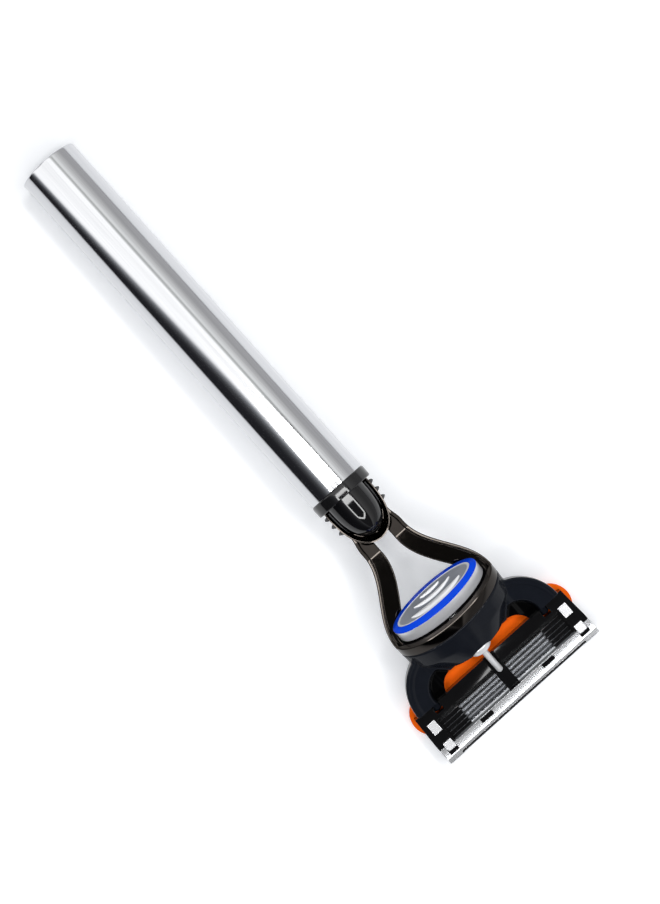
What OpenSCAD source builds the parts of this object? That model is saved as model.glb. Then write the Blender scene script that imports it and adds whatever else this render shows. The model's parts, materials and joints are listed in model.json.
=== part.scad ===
// Cartridge razor lying on its blades: a steel tube handle, a die-cast fork with a
// release button, and a clip-on head whose five sprung blades pivot on a yoke.
// +X runs from the tube's end to the head, +Y across the blades, and z = 0 is the table.

/* [Tube] */
// Outside diameter of the tube
tube_d = 13.6; // [12:0.1:16]
// Length of the tube
tube_l = 90.5; // [75:0.5:120]
// Wall of the tube
tube_wall = 1.2; // [0.8:0.1:1.8]
// Thickness of the tube's closed end
tube_end_t = 2; // [1:0.5:6]
// Bevel round the tube's closed end
tube_bevel = 0.4; // [0.2:0.1:0.8]
// Length of the threaded insert in the tube's mouth
insert_l = 12; // [8:1:20]

/* [Neck] */
// Diameter of the collar
collar_d = 13.8; // [12.5:0.1:16]
// Width of the collar
collar_w = 2.6; // [1.5:0.1:4]
// Diameter of the screw that joins tube and neck
screw_d = 5; // [4:0.5:6]
// Reach of the screw into the neck
screw_reach = 6; // [4:0.5:8]
// Diameter of the neck at the collar
neck_d = 11.8; // [11:0.1:12.4]
// Length of the neck's bullet
neck_l = 11.5; // [10:0.1:12.5]
// Diameter of the dome that covers the neck
dome_d = 9.7; // [8.5:0.1:10.5]
// Length of the dome
dome_l = 9.8; // [8.5:0.1:10.2]

/* [Grip pad] */
// Thickness of the rubber pad under the neck
pad_t = 0.9; // [0.6:0.1:1.2]
// Length of the pad
pad_l = 6.4; // [6:0.1:7]
// Number of ribs on the pad
rib_n = 3; // [2:1:3]
// Width of a rib
rib_w = 1; // [0.7:0.1:1.2]
// Height of a rib above the neck
rib_rise = 0.95; // [0.6:0.05:1.2]
// Distance from rib to rib
rib_pitch = 2.05; // [1.8:0.05:2.2]

/* [Fork] */
// Distance from the collar's tube side to the middle of the hoop's front
head_reach = 34.6; // [33:0.1:38]
// Height of the middle of the hoop's front above the table
head_z = 12.8; // [12.4:0.1:14]
// Distance of that point below the tube's axis
head_drop = 1.6; // [0.8:0.1:2.4]
// Angle of the dock below level
dock_tilt = 38; // [36:1:41]
// Width of the two arms together where they leave the neck
arms_w = 11.3; // [10.5:0.1:12]
// Width of the gap between the arms where it starts
gap_w = 4; // [3:0.1:5]
// Width of an arm's rim
rim_w = 0.8; // [0.6:0.1:1.4]
// Depth of the arms below the tube's axis
arm_depth = 4.4; // [3.5:0.1:5]
// Width of the hoop
hoop_w = 26.6; // [26:0.1:28]
// Height of the hoop
hoop_h = 13; // [12.6:0.1:14]
// Wall of the hoop
hoop_wall = 1.2; // [1:0.1:1.4]
// Length of the hoop along the dock
hoop_l = 2.8; // [2.4:0.1:3.4]

/* [Release button] */
// Width of the button
button_w = 22.4; // [21:0.1:22.8]
// Height of the button
button_h = 8.6; // [8:0.1:9]
// Distance of the button's face behind the hoop's front
button_stand = 6.4; // [6.2:0.1:7]
// Length of the button's side wall
button_side = 4; // [3.6:0.1:4.3]
// Width of the ring round the button's face
ring_w = 1.4; // [1:0.1:1.8]
// Height of the ring and of the pad that it holds
ring_t = 0.7; // [0.5:0.1:0.9]
// Wall of the button
button_wall = 0.9; // [0.7:0.1:1.1]

/* [Dock and plunger] */
// Wall of the dock's cup
cup_wall = 0.6; // [0.5:0.05:0.7]
// Distance that the cup reaches in front of the hoop
cup_reach = 4; // [3.8:0.1:4.1]
// Width of the plunger's foot
plunger_w = 5.2; // [4.6:0.1:5.6]
// Diameter of the plunger's rod
plunger_d = 1.4; // [1:0.1:1.6]
// Height of the rod above the dock's axis
plunger_b = 4.5; // [4.2:0.1:4.6]
// Gap between the plunger's tip and the head's middle bar
plunger_gap = 0.1; // [0.05:0.01:0.2]
// Outside diameter of the return spring
spring_d = 2.4; // [2:0.1:2.6]
// Wire of the return spring
wire_d = 0.3; // [0.2:0.05:0.35]
// Turns of the return spring
spring_turns = 6; // [5:1:7]

/* [Yoke] */
// Length of the yoke's sleeve along the dock
yoke_l = 9.1; // [8.8:0.1:9.4]
// Width of the sleeve's front
yoke_front_w = 19.4; // [18:0.1:21]
// Distance of a wing's side inside the housing's end
wing_inset = 1.3; // [0.9:0.1:1.9]
// Height of a wing where it leaves the sleeve
wing_root_h = 5; // [4:0.1:6]
// Height of a wing at the head
wing_tip_h = 2.2; // [1.8:0.1:2.8]
// Distance from the hoop's front to the head's pivot, along the table
pivot_reach = 14.7; // [14.2:0.1:15.2]
// Height of the pivot above the table
pivot_z = 3.4; // [3.3:0.1:3.6]
// Distance from the end of the head's window to a pivot finger
finger_inset = 1.9; // [1.6:0.1:3]
// Thickness of a pivot finger
finger_t = 1.6; // [1.2:0.1:1.8]
// Diameter of a pivot pin
pin_d = 1.2; // [1:0.1:1.3]

/* [Blade unit] */
// Length of the housing across the blades
unit_w = 42.2; // [38:0.1:46]
// Distance from the pivot to the housing's front edge
unit_front = 11; // [10.9:0.1:12]
// Height of the housing's back above the table
unit_t = 5.6; // [5.4:0.1:6.2]
// Length of the housing's end beside its open window
end_w = 3.9; // [3.7:0.1:4.2]
// Number of blades
blade_n = 5; // [3:1:5]
// Distance from blade to blade
blade_pitch = 1.02; // [1:0.01:1.04]
// Distance from the pivot to the first cutting edge
first_edge = 2.5; // [2.4:0.05:2.6]
// Length of a blade's end that the housing holds
blade_hold = 1.3; // [0.7:0.1:1.4]
// Thickness of a blade
blade_t = 0.1; // [0.07:0.01:0.12]
// Thickness of a blade support
support_t = 0.2; // [0.15:0.01:0.22]
// Height of the supports' tops above the table
support_top = 3; // [2.8:0.05:3.05]
// Height of the cutting edges above the table
edge_z = 0.4; // [0.35:0.01:0.45]
// Distance that a blade can float
blade_float = 0.35; // [0.2:0.05:0.35]
// Width of the middle bar
strut_w = 2.8; // [2.4:0.1:3.2]
// Height of the middle bar's back above the table
strut_top = 4; // [3.95:0.05:4.2]

/* [Guard, strip, clips and trimmer] */
// Distance that the rubber guard's ends show past the housing
guard_lip = 0.7; // [0.4:0.1:1.2]
// Height of the guard's back above the table
guard_t = 2.25; // [2:0.05:2.3]
// Number of fins on the guard
fin_n = 7; // [4:1:8]
// Distance of the lubricating strip's ends inside the window's
strip_inset = 0.5; // [0.4:0.1:2]
// Thickness of the clip bands
clip_t = 0.3; // [0.2:0.05:0.3]
// Width of the clip bands
clip_w = 2.05; // [1.8:0.05:2.1]
// Thickness of the trimmer's carrier
carrier_t = 0.2; // [0.15:0.05:0.25]
// Distance that the trimmer's edge stands out of the housing
trimmer_out = 0.45; // [0.3:0.05:0.6]

/* [Hidden] */
$fn = 64;
oval_n = 60;
seat_gap = 0.03;
run_gap = 0.05;
slide_gap = 0.15;
cut = 0.1;

blade_ids = [1 : blade_n];

// The tube's tilt lets its closed end and the head both touch the table.
tube_r = tube_d / 2;
lever = tube_l - tube_bevel + head_reach;
lever_drop = tube_r - head_drop;
tilt = asin(head_z / norm([lever, lever_drop])) - atan2(lever_drop, lever);

// The origin lies halfway along the razor.
tail = (tube_l + head_reach) * cos(tilt) + (tube_r - tube_bevel + head_drop) * sin(tilt);
nose = pivot_reach + unit_front + trimmer_out;
head_pos = [(tail - nose) / 2, 0, head_z];
pivot_x = head_pos.x + pivot_reach;

// Places along the neck, counted from the collar's tube side, and the pad's top edge.
screw_end = collar_w + screw_reach + 0.5;
pad_x = collar_w + 0.4;
pad_top = -0.8;
first_rib_x = pad_x + 0.7;

// Half-axes of the ovals, from the outside in.
hoop_a = hoop_w / 2;
hoop_b = hoop_h / 2;
cup_a = hoop_a - hoop_wall - run_gap;
cup_b = hoop_b - hoop_wall - run_gap;
socket_a = cup_a + slide_gap;
socket_b = cup_b + slide_gap;
button_a = button_w / 2;
button_b = button_h / 2;

// Stations along the dock's axis, counted from the hoop's front.
cup_back = -hoop_l / 2;
cup_floor = cup_reach - 0.8;
web_t = cup_reach + 0.25;
face_t = -button_stand;
face_room = 0.4;
shell_t = face_t + ring_t;
ceiling_t = shell_t + 1;
rim_t = face_t + button_side;

// The plunger's body slides in a square guide on the dock's cup.
body_b = [0.2, 3.6];
body_t = cup_reach + 0.4;
guide_end = cup_reach + 2.4;
guide_wall = 0.6;
foot_gap = 3;
foot_l = 2;
groove_l = 1.6;
foot_t = [guide_end + foot_gap, guide_end + foot_gap + foot_l];
foot_top = plunger_b + 1;
spring_b = (body_b[0] + body_b[1]) / 2;
tip_r = plunger_d / 2;
tip_z = strut_top + tip_r + plunger_gap;
tip_t = (head_z + plunger_b * cos(dock_tilt) - tip_z) / sin(dock_tilt);
arm_y = 7;
arm_size = [2, 2.6];

// Lengths across the blades, from the housing's own.
window_w = unit_w - 2 * end_w;
blade_l = window_w + 2 * blade_hold;
guard_w = unit_w + 2 * guard_lip;
strip_l = window_w - 2 * strip_inset;
wing_w = unit_w - 2 * wing_inset;
finger_y = window_w / 2 - finger_inset;
clip_side = 0.4;

// Places along X in the blade unit, counted from the pivot.
unit_back = -1;
window_x = [1.9, 8.2];
guard_x = [-4, 1.6];
strip_x = [8.65, unit_front + 0.2];
strip_seat_z = 1.3;
taper_x = 6;
taper_y = 0.4;
wing_lift = 0.35;
blade_room = 1.5;
strut_t = 0.55;
trimmer_back = 9;
trimmer_z = [4.5, 4.7];
lip_x = 10.8;
carrier_x = [7.9, 10.45];
ear_x = [7.4, 10.9];
slot_x = [8.3, 9.1];
tab_x = [8.05, 9];
tab_y = [7.1, 10.3];
clip_y = [window_w / 2 + clip_side, window_w / 2 + clip_side + clip_w];
back_leg_x = 1.45;
front_leg_x = 8.4;
chip_l = [2.75, 2.1];
leg_offset = 0.7;
heel = leg_offset + support_t;
finger_r = 1;
pin_l = finger_t + 1.8;
swing_r = 2.8;
comb_z = [support_top + 0.55, support_top + 1.05];
comb_y = window_w / 2 + 1.6;
comb_inset = 0.4;

// Half a turn of a cosine, from 0 to 1.
function ease(u) = (1 - cos(180 * min(1, max(0, u)))) / 2;

// Points of an oval with the half-axes a and b.
function oval(a, b) = [for (i = [0 : oval_n - 1]) [a * cos(360 * i / oval_n), b * sin(360 * i / oval_n)]];

// Outline of a bullet that starts at the collar: [place along the axis, radius].
function bullet(r, l, n = 14) = concat(
    [[collar_w, 0]],
    [for (i = [0 : n]) let (u = sin(90 * i / n)) [collar_w + l * u, r * sqrt(max(0, 1 - u ^ 3))]]
);

// Faces of a tube through n rings of m points each.
function loft_faces(n, m) = concat(
    [[for (j = [0 : m - 1]) j]],
    [[for (j = [m - 1 : -1 : 0]) (n - 1) * m + j]],
    [for (i = [0 : n - 2]) for (j = [0 : m - 1]) [i * m + j, (i + 1) * m + j, i * m + (j + 1) % m]],
    [
        for (i = [1 : n - 1])
            for (j = [0 : m - 1])
                [i * m + j, i * m + (j + 1) % m, (i - 1) * m + (j + 1) % m]
    ]
);

module loft(rings) {
    polyhedron([for (ring = rings) each ring], loft_faces(len(rings), len(rings[0])));
}

// The tube's own frame: X along its axis, zero at the collar's tube side.
module handle_frame() {
    translate(head_pos)
        rotate([0, -tilt, 0])
            translate([-head_reach, 0, head_drop])
                children();
}

// The dock's frame: X along the dock, zero at the hoop's front.
module head_frame() {
    translate(head_pos)
        rotate([0, dock_tilt, 0])
            children();
}

// The blade unit's frame: level, X counted from the pivot.
module unit_frame() {
    translate([pivot_x, 0, 0])
        children();
}

module both_sides() {
    children();
    mirror([0, 1, 0])
        children();
}

module block(low, high) {
    translate(low)
        cube(high - low);
}

// A round bar along X.
module rod(r, x0, x1) {
    translate([x0, 0, 0])
        rotate([0, 90, 0])
            cylinder(r = r, h = x1 - x0);
}

// A shape turned about X from an outline of [place, radius].
module turned(outline) {
    rotate([0, 90, 0])
        rotate_extrude()
            polygon([for (p = outline) [p[1], p[0]]]);
}

// An outline in Y and Z, carried along X.
module along(x0, x1) {
    translate([x0, 0, 0])
        rotate([90, 0, 90])
            linear_extrude(x1 - x0)
                children();
}

// An outline in X and Z, carried along Y.
module across(y0, y1) {
    translate([0, y1, 0])
        rotate([90, 0, 0])
            linear_extrude(y1 - y0)
                children();
}

module oval_bar(a, b, x0, x1) {
    along(x0, x1)
        polygon(oval(a, b));
}

module handle_tube() {
    color("silver")
        handle_frame()
            difference() {
                turned([
                    [-tube_l, 0],
                    [-tube_l, tube_r - tube_bevel],
                    [-tube_l + tube_bevel, tube_r],
                    [0, tube_r],
                    [0, 0]
                ]);
                rod(tube_r - tube_wall, tube_end_t - tube_l, cut);
            }
}

module tube_insert() {
    color("goldenrod")
        handle_frame()
            difference() {
                rod(tube_r - tube_wall - seat_gap, -insert_l, 0);
                rod(screw_d / 2 + seat_gap, -insert_l - cut, cut);
            }
}

module neck_screw() {
    color("dimgray")
        handle_frame()
            rod(screw_d / 2, 1 - insert_l, collar_w + screw_reach);
}

module collar_ring() {
    bevel = 0.35;
    color([0.1, 0.1, 0.11])
        handle_frame()
            turned([
                [0, screw_d / 2 + seat_gap],
                [0, collar_d / 2 - bevel],
                [bevel, collar_d / 2],
                [collar_w - bevel, collar_d / 2],
                [collar_w, collar_d / 2 - bevel],
                [collar_w, screw_d / 2 + seat_gap]
            ]);
}

// The hollow under the neck that the rubber pad fills.
module pad_space(gap) {
    difference() {
        block([pad_x - gap, -neck_d, -neck_d], [pad_x + pad_l + gap, neck_d, pad_top + gap]);
        turned(bullet(neck_d / 2 - pad_t - gap, neck_l));
    }
}

// Lower half of the neck's bullet, bored for the screw.
module neck_socket() {
    difference() {
        turned(bullet(neck_d / 2, neck_l));
        block([0, -neck_d, 0], [collar_w + neck_l + 1, neck_d, neck_d]);
        pad_space(0);
        rod(screw_d / 2 + seat_gap, 0, screw_end);
    }
}

// One arm: a bar with a low rim along its outer edge, which rises out of the neck.
module fork_arm() {
    neck_end = collar_w + neck_l;
    start = pad_x + pad_l + 0.3;
    end = head_reach - 1.2;
    root_l = 4;
    root_in = 0.6;
    flare_start = neck_end + 0.4;
    flare_l = head_reach - 1.6 - flare_start;
    gap_start = flare_start + 2;
    gap_l = head_reach - neck_end + 1;
    gap_share = 0.81;
    rim_low = -0.1;
    rim_z = 0.7;
    rim_lift = 0.4;
    rim_step = 0.5;
    foot_lift = 1.8;
    steps = 20;
    loft([
        for (i = [0 : steps])
            let (
                x = start + (end - start) * i / steps,
                rise = ease((x - start) / root_l),
                flare = ease((x - flare_start) / flare_l),
                parting = gap_share * ease((x - gap_start) / gap_l),
                outer = arms_w / 2 - root_in * (1 - rise) + (hoop_a - arms_w / 2) * flare,
                inner = gap_w / 2 + (hoop_a - gap_w / 2) * parting,
                top = rim_low + (rim_z - rim_low) * rise + rim_lift * flare,
                deck = top - rim_step * (1 + flare),
                bottom = -arm_depth + foot_lift * flare
            )
            [
                [x, outer, top],
                [x, outer - rim_w, top],
                [x, outer - rim_w, deck],
                [x, inner, deck],
                [x, inner, bottom],
                [x, outer - rim_w / 2, bottom]
            ]
    ]);
}

// The oval hoop, cut back underneath.
module hoop() {
    intersection() {
        oval_bar(hoop_a, hoop_b, -hoop_l, 0);
        across(-hoop_a, hoop_a)
            polygon([[-hoop_l, hoop_b], [0, hoop_b], [0, -hoop_b], [cup_back, -hoop_b], [-hoop_l, 0]]);
    }
}

module fork_frame() {
    color([0.2, 0.19, 0.19])
        difference() {
            union() {
                handle_frame() {
                    neck_socket();
                    both_sides()
                        fork_arm();
                }
                head_frame()
                    hoop();
            }
            head_frame()
                oval_bar(hoop_a - hoop_wall, hoop_b - hoop_wall, face_t - face_room, cut);
        }
}

module neck_dome() {
    color([0.06, 0.06, 0.07])
        handle_frame()
            difference() {
                turned(bullet(dome_d / 2, dome_l));
                block([0, -neck_d, -neck_d], [collar_w + neck_l, neck_d, 0]);
                rod(screw_d / 2 + seat_gap, 0, screw_end);
            }
}

module grip_pad() {
    color([0.22, 0.22, 0.23])
        handle_frame() {
            intersection() {
                turned(bullet(neck_d / 2, neck_l));
                pad_space(-seat_gap);
            }
            difference() {
                for (i = [0 : rib_n - 1]) {
                    x = first_rib_x + i * rib_pitch;
                    swell = neck_d / 2 * sqrt(1 - ((x - collar_w) / neck_l) ^ 3) + rib_rise - rib_w / 2;
                    rotate([0, 90, 0])
                        rotate_extrude()
                            translate([swell, x])
                                circle(d = rib_w);
                }
                block([0, -neck_d, pad_top - seat_gap], [collar_w + neck_l, neck_d, neck_d]);
                turned(bullet(neck_d / 2 - pad_t + seat_gap, neck_l));
            }
        }
}

// The square space that the plunger's body fills, with room round it.
module plunger_space(gap, x0, x1) {
    block(
        [x0, -plunger_w / 2 - gap, body_b[0] - gap],
        [x1, plunger_w / 2 + gap, body_b[1] + gap]
    );
}

// An ejector arm, with room round it.
module ejector_bar(gap, x0, x1) {
    both_sides()
        block(
            [x0, arm_y - arm_size[0] / 2 - gap, -arm_size[1] / 2 - gap],
            [x1, arm_y + arm_size[0] / 2 + gap, arm_size[1] / 2 + gap]
        );
}

module dock_body() {
    color([0.12, 0.12, 0.13])
        head_frame()
            difference() {
                union() {
                    oval_bar(cup_a, cup_b, cup_back, cup_reach);
                    plunger_space(guide_wall, cup_floor, guide_end);
                }
                oval_bar(cup_a - cup_wall, cup_b - cup_wall, cup_back - cut, cup_floor);
                plunger_space(run_gap, cup_floor - cut, guide_end + cut);
                ejector_bar(slide_gap, cup_floor - cut, cup_reach + cut);
            }
}

// Middle of the spring's wire, s turns from its start.
spring_x0 = ceiling_t + 0.8 + wire_d;
spring_x1 = body_t - wire_d;
function spring_point(s) = let (r = (spring_d - wire_d) / 2) [
    spring_x0 + (spring_x1 - spring_x0) * s / spring_turns,
    r * cos(360 * s),
    spring_b + r * sin(360 * s)
];
function spring_section(s) = let (middle = spring_point(s), sides = 6) [
    for (j = [0 : sides - 1])
        let (a = 360 * j / sides, w = wire_d / 2)
        middle + w * [-sin(a), cos(a) * cos(360 * s), cos(a) * sin(360 * s)]
];
echo(least_gap_in_spring = norm(spring_point(1) - spring_point(0)) - wire_d);

module return_spring() {
    rings_a_turn = 8;
    color("gainsboro")
        head_frame()
            loft([for (i = [0 : spring_turns * rings_a_turn]) spring_section(i / rings_a_turn)]);
}

module button_body() {
    color([0.78, 0.79, 0.82])
        head_frame()
            difference() {
                oval_bar(button_a, button_b, shell_t, rim_t);
                oval_bar(button_a - button_wall, button_b - button_wall, ceiling_t, rim_t + cut);
            }
}

module button_ring() {
    color([0.05, 0.3, 0.95])
        head_frame()
            difference() {
                oval_bar(button_a, button_b, face_t, shell_t);
                oval_bar(button_a - ring_w, button_b - ring_w, face_t - cut, shell_t + cut);
            }
}

// The face has three crescent ridges that bow towards the head.
module button_pad() {
    a = button_a - ring_w - seat_gap;
    b = button_b - ring_w - seat_gap;
    pad_face = face_t + 0.1;
    ridge_t = 0.25;
    ridge_w = 0.5;
    ridge_margin = 0.2;
    ridge_b = 2.2;
    ridge_flare = 0.6;
    first_ridge = [3.2, -3];
    ridge_step = [2.2, 1.3];
    color([0.55, 0.57, 0.6])
        head_frame() {
            oval_bar(a, b, pad_face, shell_t);
            for (i = [0 : 2]) {
                ridge = first_ridge + i * ridge_step;
                along(pad_face - ridge_t, pad_face + cut)
                    intersection() {
                        polygon(oval(a - ridge_margin, b - ridge_margin));
                        difference() {
                            translate([0, ridge[1]])
                                polygon(oval(ridge[0], ridge_b));
                            translate([0, ridge[1] - ridge_w])
                                polygon(oval(ridge[0] + ridge_flare, ridge_b));
                        }
                    }
            }
        }
}

module ejector_arms() {
    plate_t = 0.8;
    color([0.16, 0.16, 0.17])
        head_frame() {
            oval_bar(
                button_a - button_wall - slide_gap,
                button_b - button_wall - slide_gap,
                ceiling_t,
                ceiling_t + plate_t
            );
            ejector_bar(0, ceiling_t + plate_t / 2, web_t - slide_gap);
        }
}

module plunger() {
    half = plunger_w / 2;
    crown = foot_top - body_b[1];
    color([0.72, 0.73, 0.75])
        head_frame() {
            plunger_space(0, body_t, foot_t[0]);
            along(foot_t[0] - cut, foot_t[1])
                polygon(concat(
                    [[-half, body_b[0]], [half, body_b[0]]],
                    [for (a = [0 : 15 : 180]) [half * cos(a), body_b[1] + crown * sin(a)]]
                ));
            translate([0, 0, plunger_b])
                turned(concat(
                    [[foot_t[1] - cut, 0], [foot_t[1] - cut, tip_r]],
                    [for (a = [90 : -15 : 0]) [tip_t + tip_r * cos(a), tip_r * sin(a)]]
                ));
        }
}

// The sleeve narrows towards its front.
module yoke_sleeve() {
    slice = 0.4;
    hull() {
        oval_bar(hoop_a, hoop_b, slide_gap, slide_gap + slice);
        oval_bar(hoop_a - slide_gap, hoop_b, web_t, web_t + slice);
        oval_bar(yoke_front_w / 2, hoop_b, yoke_l - slice, yoke_l);
    }
}

// A wing is a sloping slab with a round shoulder and a scoop beside the sleeve.
module yoke_wing() {
    shoulder_l = 11.2;
    shoulder_w = 10.3;
    shoulder = [unit_back, wing_w / 2 - shoulder_w];
    scoop_r = 4.1;
    scoop = [-0.4, 7.7];
    root_t = 3.7;
    root = [root_t * cos(dock_tilt) - pivot_reach, head_z - root_t * sin(dock_tilt)];
    tip = [unit_back, unit_t + wing_lift + wing_tip_h / 2];
    overrun = 0.25;
    back = root - overrun * (tip - root);
    back_h = wing_root_h + overrun * (wing_root_h - wing_tip_h);
    intersection() {
        linear_extrude(head_z + hoop_h)
            difference() {
                translate(shoulder)
                    polygon(oval(shoulder_l, shoulder_w));
                translate(scoop)
                    circle(r = scoop_r);
                translate([scoop.x - scoop_r, 0])
                    square([scoop_r, scoop.y]);
                translate([unit_back, 0])
                    square([shoulder_l, wing_w]);
            }
        across(0, wing_w)
            polygon([
                back + [0, back_h / 2],
                tip + [0, wing_tip_h / 2],
                tip - [0, wing_tip_h / 2],
                back - [0, back_h / 2]
            ]);
    }
}

// A finger reaches into the housing and carries a pin on both faces.
module yoke_finger() {
    lean = 140;
    shank_l = 4.4;
    across(finger_y - finger_t / 2, finger_y + finger_t / 2)
        translate([0, pivot_z]) {
            circle(r = finger_r);
            rotate(lean)
                translate([0, -finger_r])
                    square([shank_l, 2 * finger_r]);
        }
    pivot_bar(pin_d / 2, finger_y - pin_l / 2, finger_y + pin_l / 2);
}

// A round bar on the pivot's axis.
module pivot_bar(r, y0, y1) {
    translate([0, y1, pivot_z])
        rotate([90, 0, 0])
            cylinder(r = r, h = y1 - y0);
}

module yoke() {
    notch_r = 5;
    notch_depth = 0.7;
    color([0.09, 0.09, 0.11]) {
        difference() {
            union() {
                head_frame()
                    yoke_sleeve();
                unit_frame()
                    both_sides()
                        yoke_wing();
            }
            head_frame() {
                oval_bar(socket_a, socket_b, 0, web_t);
                plunger_space(guide_wall + slide_gap, web_t - cut, guide_end + 0.4);
                block(
                    [web_t - groove_l, -plunger_w / 2 - slide_gap, body_b[0] - slide_gap],
                    [tip_t, plunger_w / 2 + slide_gap, foot_top + slide_gap]
                );
                translate([yoke_l + notch_r - notch_depth, 0, foot_top])
                    cylinder(r = notch_r, h = hoop_b);
            }
            unit_frame()
                pivot_bar(swing_r, -wing_w, wing_w);
        }
        unit_frame()
            both_sides()
                yoke_finger();
    }
}

// Plan of the housing: a little narrower on the handle's side.
function unit_plan() = let (w = unit_w / 2) [
    [unit_back, -w + taper_y],
    [taper_x, -w],
    [unit_front, -w],
    [unit_front, w],
    [taper_x, w],
    [unit_back, w - taper_y]
];

// Where a blade's edge lies.
function edge_x(i) = first_edge + (i - 1) * blade_pitch;

// Room for the blades' ends, and a guide slot for each support.
module blade_space() {
    half = blade_l / 2 + slide_gap;
    block([window_x[0], -half, 0], [window_x[1], half, blade_room]);
    for (i = blade_ids)
        block(
            [edge_x(i) + leg_offset - run_gap, -half, blade_room - cut],
            [edge_x(i) + heel + run_gap, half, support_top + blade_float + run_gap]
        );
}

// Holes for the two legs of a clip.
module clip_holes() {
    for (x = [back_leg_x, front_leg_x])
        block(
            [x - seat_gap, clip_y[0] - seat_gap, 0],
            [x + clip_t + seat_gap, clip_y[1] + seat_gap, unit_t + 1]
        );
}

// A slot and a cross bore take one of the yoke's fingers and its pin.
module finger_space() {
    y0 = finger_y - finger_t / 2 - slide_gap;
    y1 = finger_y + finger_t / 2 + slide_gap;
    block([unit_back - cut, y0, 0], [finger_r + slide_gap, y1, unit_t + 1]);
    pivot_bar(pin_d / 2 + run_gap, finger_y - pin_l / 2 - run_gap, finger_y + pin_l / 2 + run_gap);
}

// A box of the given half-width over the middle of the head.
module middle_block(x, half, z) {
    block([x[0], -half, z[0]], [x[1], half, z[1]]);
}

module blade_housing() {
    half = window_w / 2;
    under = clip_t + run_gap;
    past_back = unit_t + 1;
    past_front = unit_front + cut;
    color([0.05, 0.05, 0.06])
        unit_frame() {
            difference() {
                translate([0, 0, under])
                    linear_extrude(unit_t - under)
                        polygon(unit_plan());
                middle_block([unit_back - cut, guard_x[1] + seat_gap], half, [0, guard_t]);
                middle_block(window_x, half, [0, past_back]);
                middle_block([strip_x[0] - seat_gap, past_front], strip_l / 2 + seat_gap, [0, strip_seat_z]);
                middle_block([unit_back - cut, window_x[0] + cut], strut_w / 2, [strut_top, past_back]);
                middle_block([trimmer_back, past_front], half, trimmer_z);
                middle_block([lip_x, past_front], half, [trimmer_z[1] - cut, past_back]);
                blade_space();
                both_sides() {
                    clip_holes();
                    finger_space();
                    comb_root(seat_gap);
                }
            }
            middle_block(window_x + [-cut, cut], strut_w / 2, [strut_top - strut_t, strut_top]);
            both_sides()
                block([tab_x[0], tab_y[0], unit_t - cut], [tab_x[1], tab_y[1], unit_t + 2 * carrier_t]);
        }
}

// The bar that carries the spring fingers, let into the housing.
module comb_root(gap) {
    block(
        [window_x[0] + comb_inset - gap, window_w / 2 - comb_inset, comb_z[0] - gap],
        [window_x[1] - comb_inset + gap, comb_y + gap, comb_z[1] + gap]
    );
}

module spring_fingers() {
    finger_w = 0.72;
    nib_l = 0.8;
    finger_l = 5.3;
    reach_y = window_w / 2 - finger_l;
    color([0.08, 0.08, 0.09])
        unit_frame()
            both_sides() {
                comb_root(0);
                for (i = blade_ids) {
                    x = edge_x(i) + leg_offset + support_t / 2 - finger_w / 2;
                    block([x, reach_y, comb_z[0]], [x + finger_w, window_w / 2, comb_z[1]]);
                    block([x, reach_y, support_top + run_gap], [x + finger_w, reach_y + nib_l, comb_z[1]]);
                }
            }
}

// Plan of the guard: a bar with round ends that show past the housing.
module guard_plan() {
    tip_a = 4.6;
    tip_y = window_w / 2;
    square_l = guard_x[1] - guard_x[0];
    difference() {
        union() {
            translate([guard_x[0], -tip_y])
                square([square_l, 2 * tip_y]);
            for (side = [-1, 1])
                translate([guard_x[0] + tip_a, side * tip_y])
                    polygon(oval(tip_a, guard_w / 2 - tip_y));
        }
        for (side = [0, 1])
            mirror([0, side])
                polygon([
                    [unit_back - seat_gap, tip_y],
                    [unit_front, tip_y],
                    [unit_front, unit_w / 2 + seat_gap],
                    [taper_x, unit_w / 2 + seat_gap],
                    [unit_back - seat_gap, unit_w / 2 - taper_y + seat_gap]
                ]);
        translate([guard_x[1], -tip_y])
            square([unit_front, 2 * tip_y]);
    }
}

module comfort_guard() {
    fin_h = 0.9;
    margin = 1;
    fin_y = window_w / 2 - margin;
    fin_pitch = (guard_x[1] - guard_x[0] - margin) / fin_n;
    groove = fin_pitch / 2;
    color([1, 0.43, 0.06])
        unit_frame()
            difference() {
                linear_extrude(guard_t)
                    guard_plan();
                for (i = [1 : fin_n]) {
                    x = guard_x[1] - i * fin_pitch;
                    middle_block([x, x + groove], fin_y, [-cut, fin_h]);
                }
            }
}

module lubricating_strip() {
    color([0.85, 0.9, 0.92])
        unit_frame()
            middle_block(strip_x, strip_l / 2, [run_gap, strip_seat_z - seat_gap]);
}

// One clip: a band over the blades' ends, with two legs bent over on the back.
module clip() {
    legs = [back_leg_x, front_leg_x];
    backs = [unit_t, unit_t + carrier_t + seat_gap];
    ends = [[back_leg_x, back_leg_x + chip_l[0]], [front_leg_x + clip_t - chip_l[1], front_leg_x + clip_t]];
    color([0.88, 0.89, 0.9])
        unit_frame() {
            block([legs[0], clip_y[0], 0], [legs[1] + clip_t, clip_y[1], clip_t]);
            for (i = [0, 1]) {
                block([legs[i], clip_y[0], 0], [legs[i] + clip_t, clip_y[1], backs[i] + clip_t]);
                block([ends[i][0], clip_y[0], backs[i]], [ends[i][1], clip_y[1], backs[i] + clip_t]);
            }
        }
}

module clip_left() {
    clip();
}

module clip_right() {
    mirror([0, 1, 0])
        clip();
}

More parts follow.
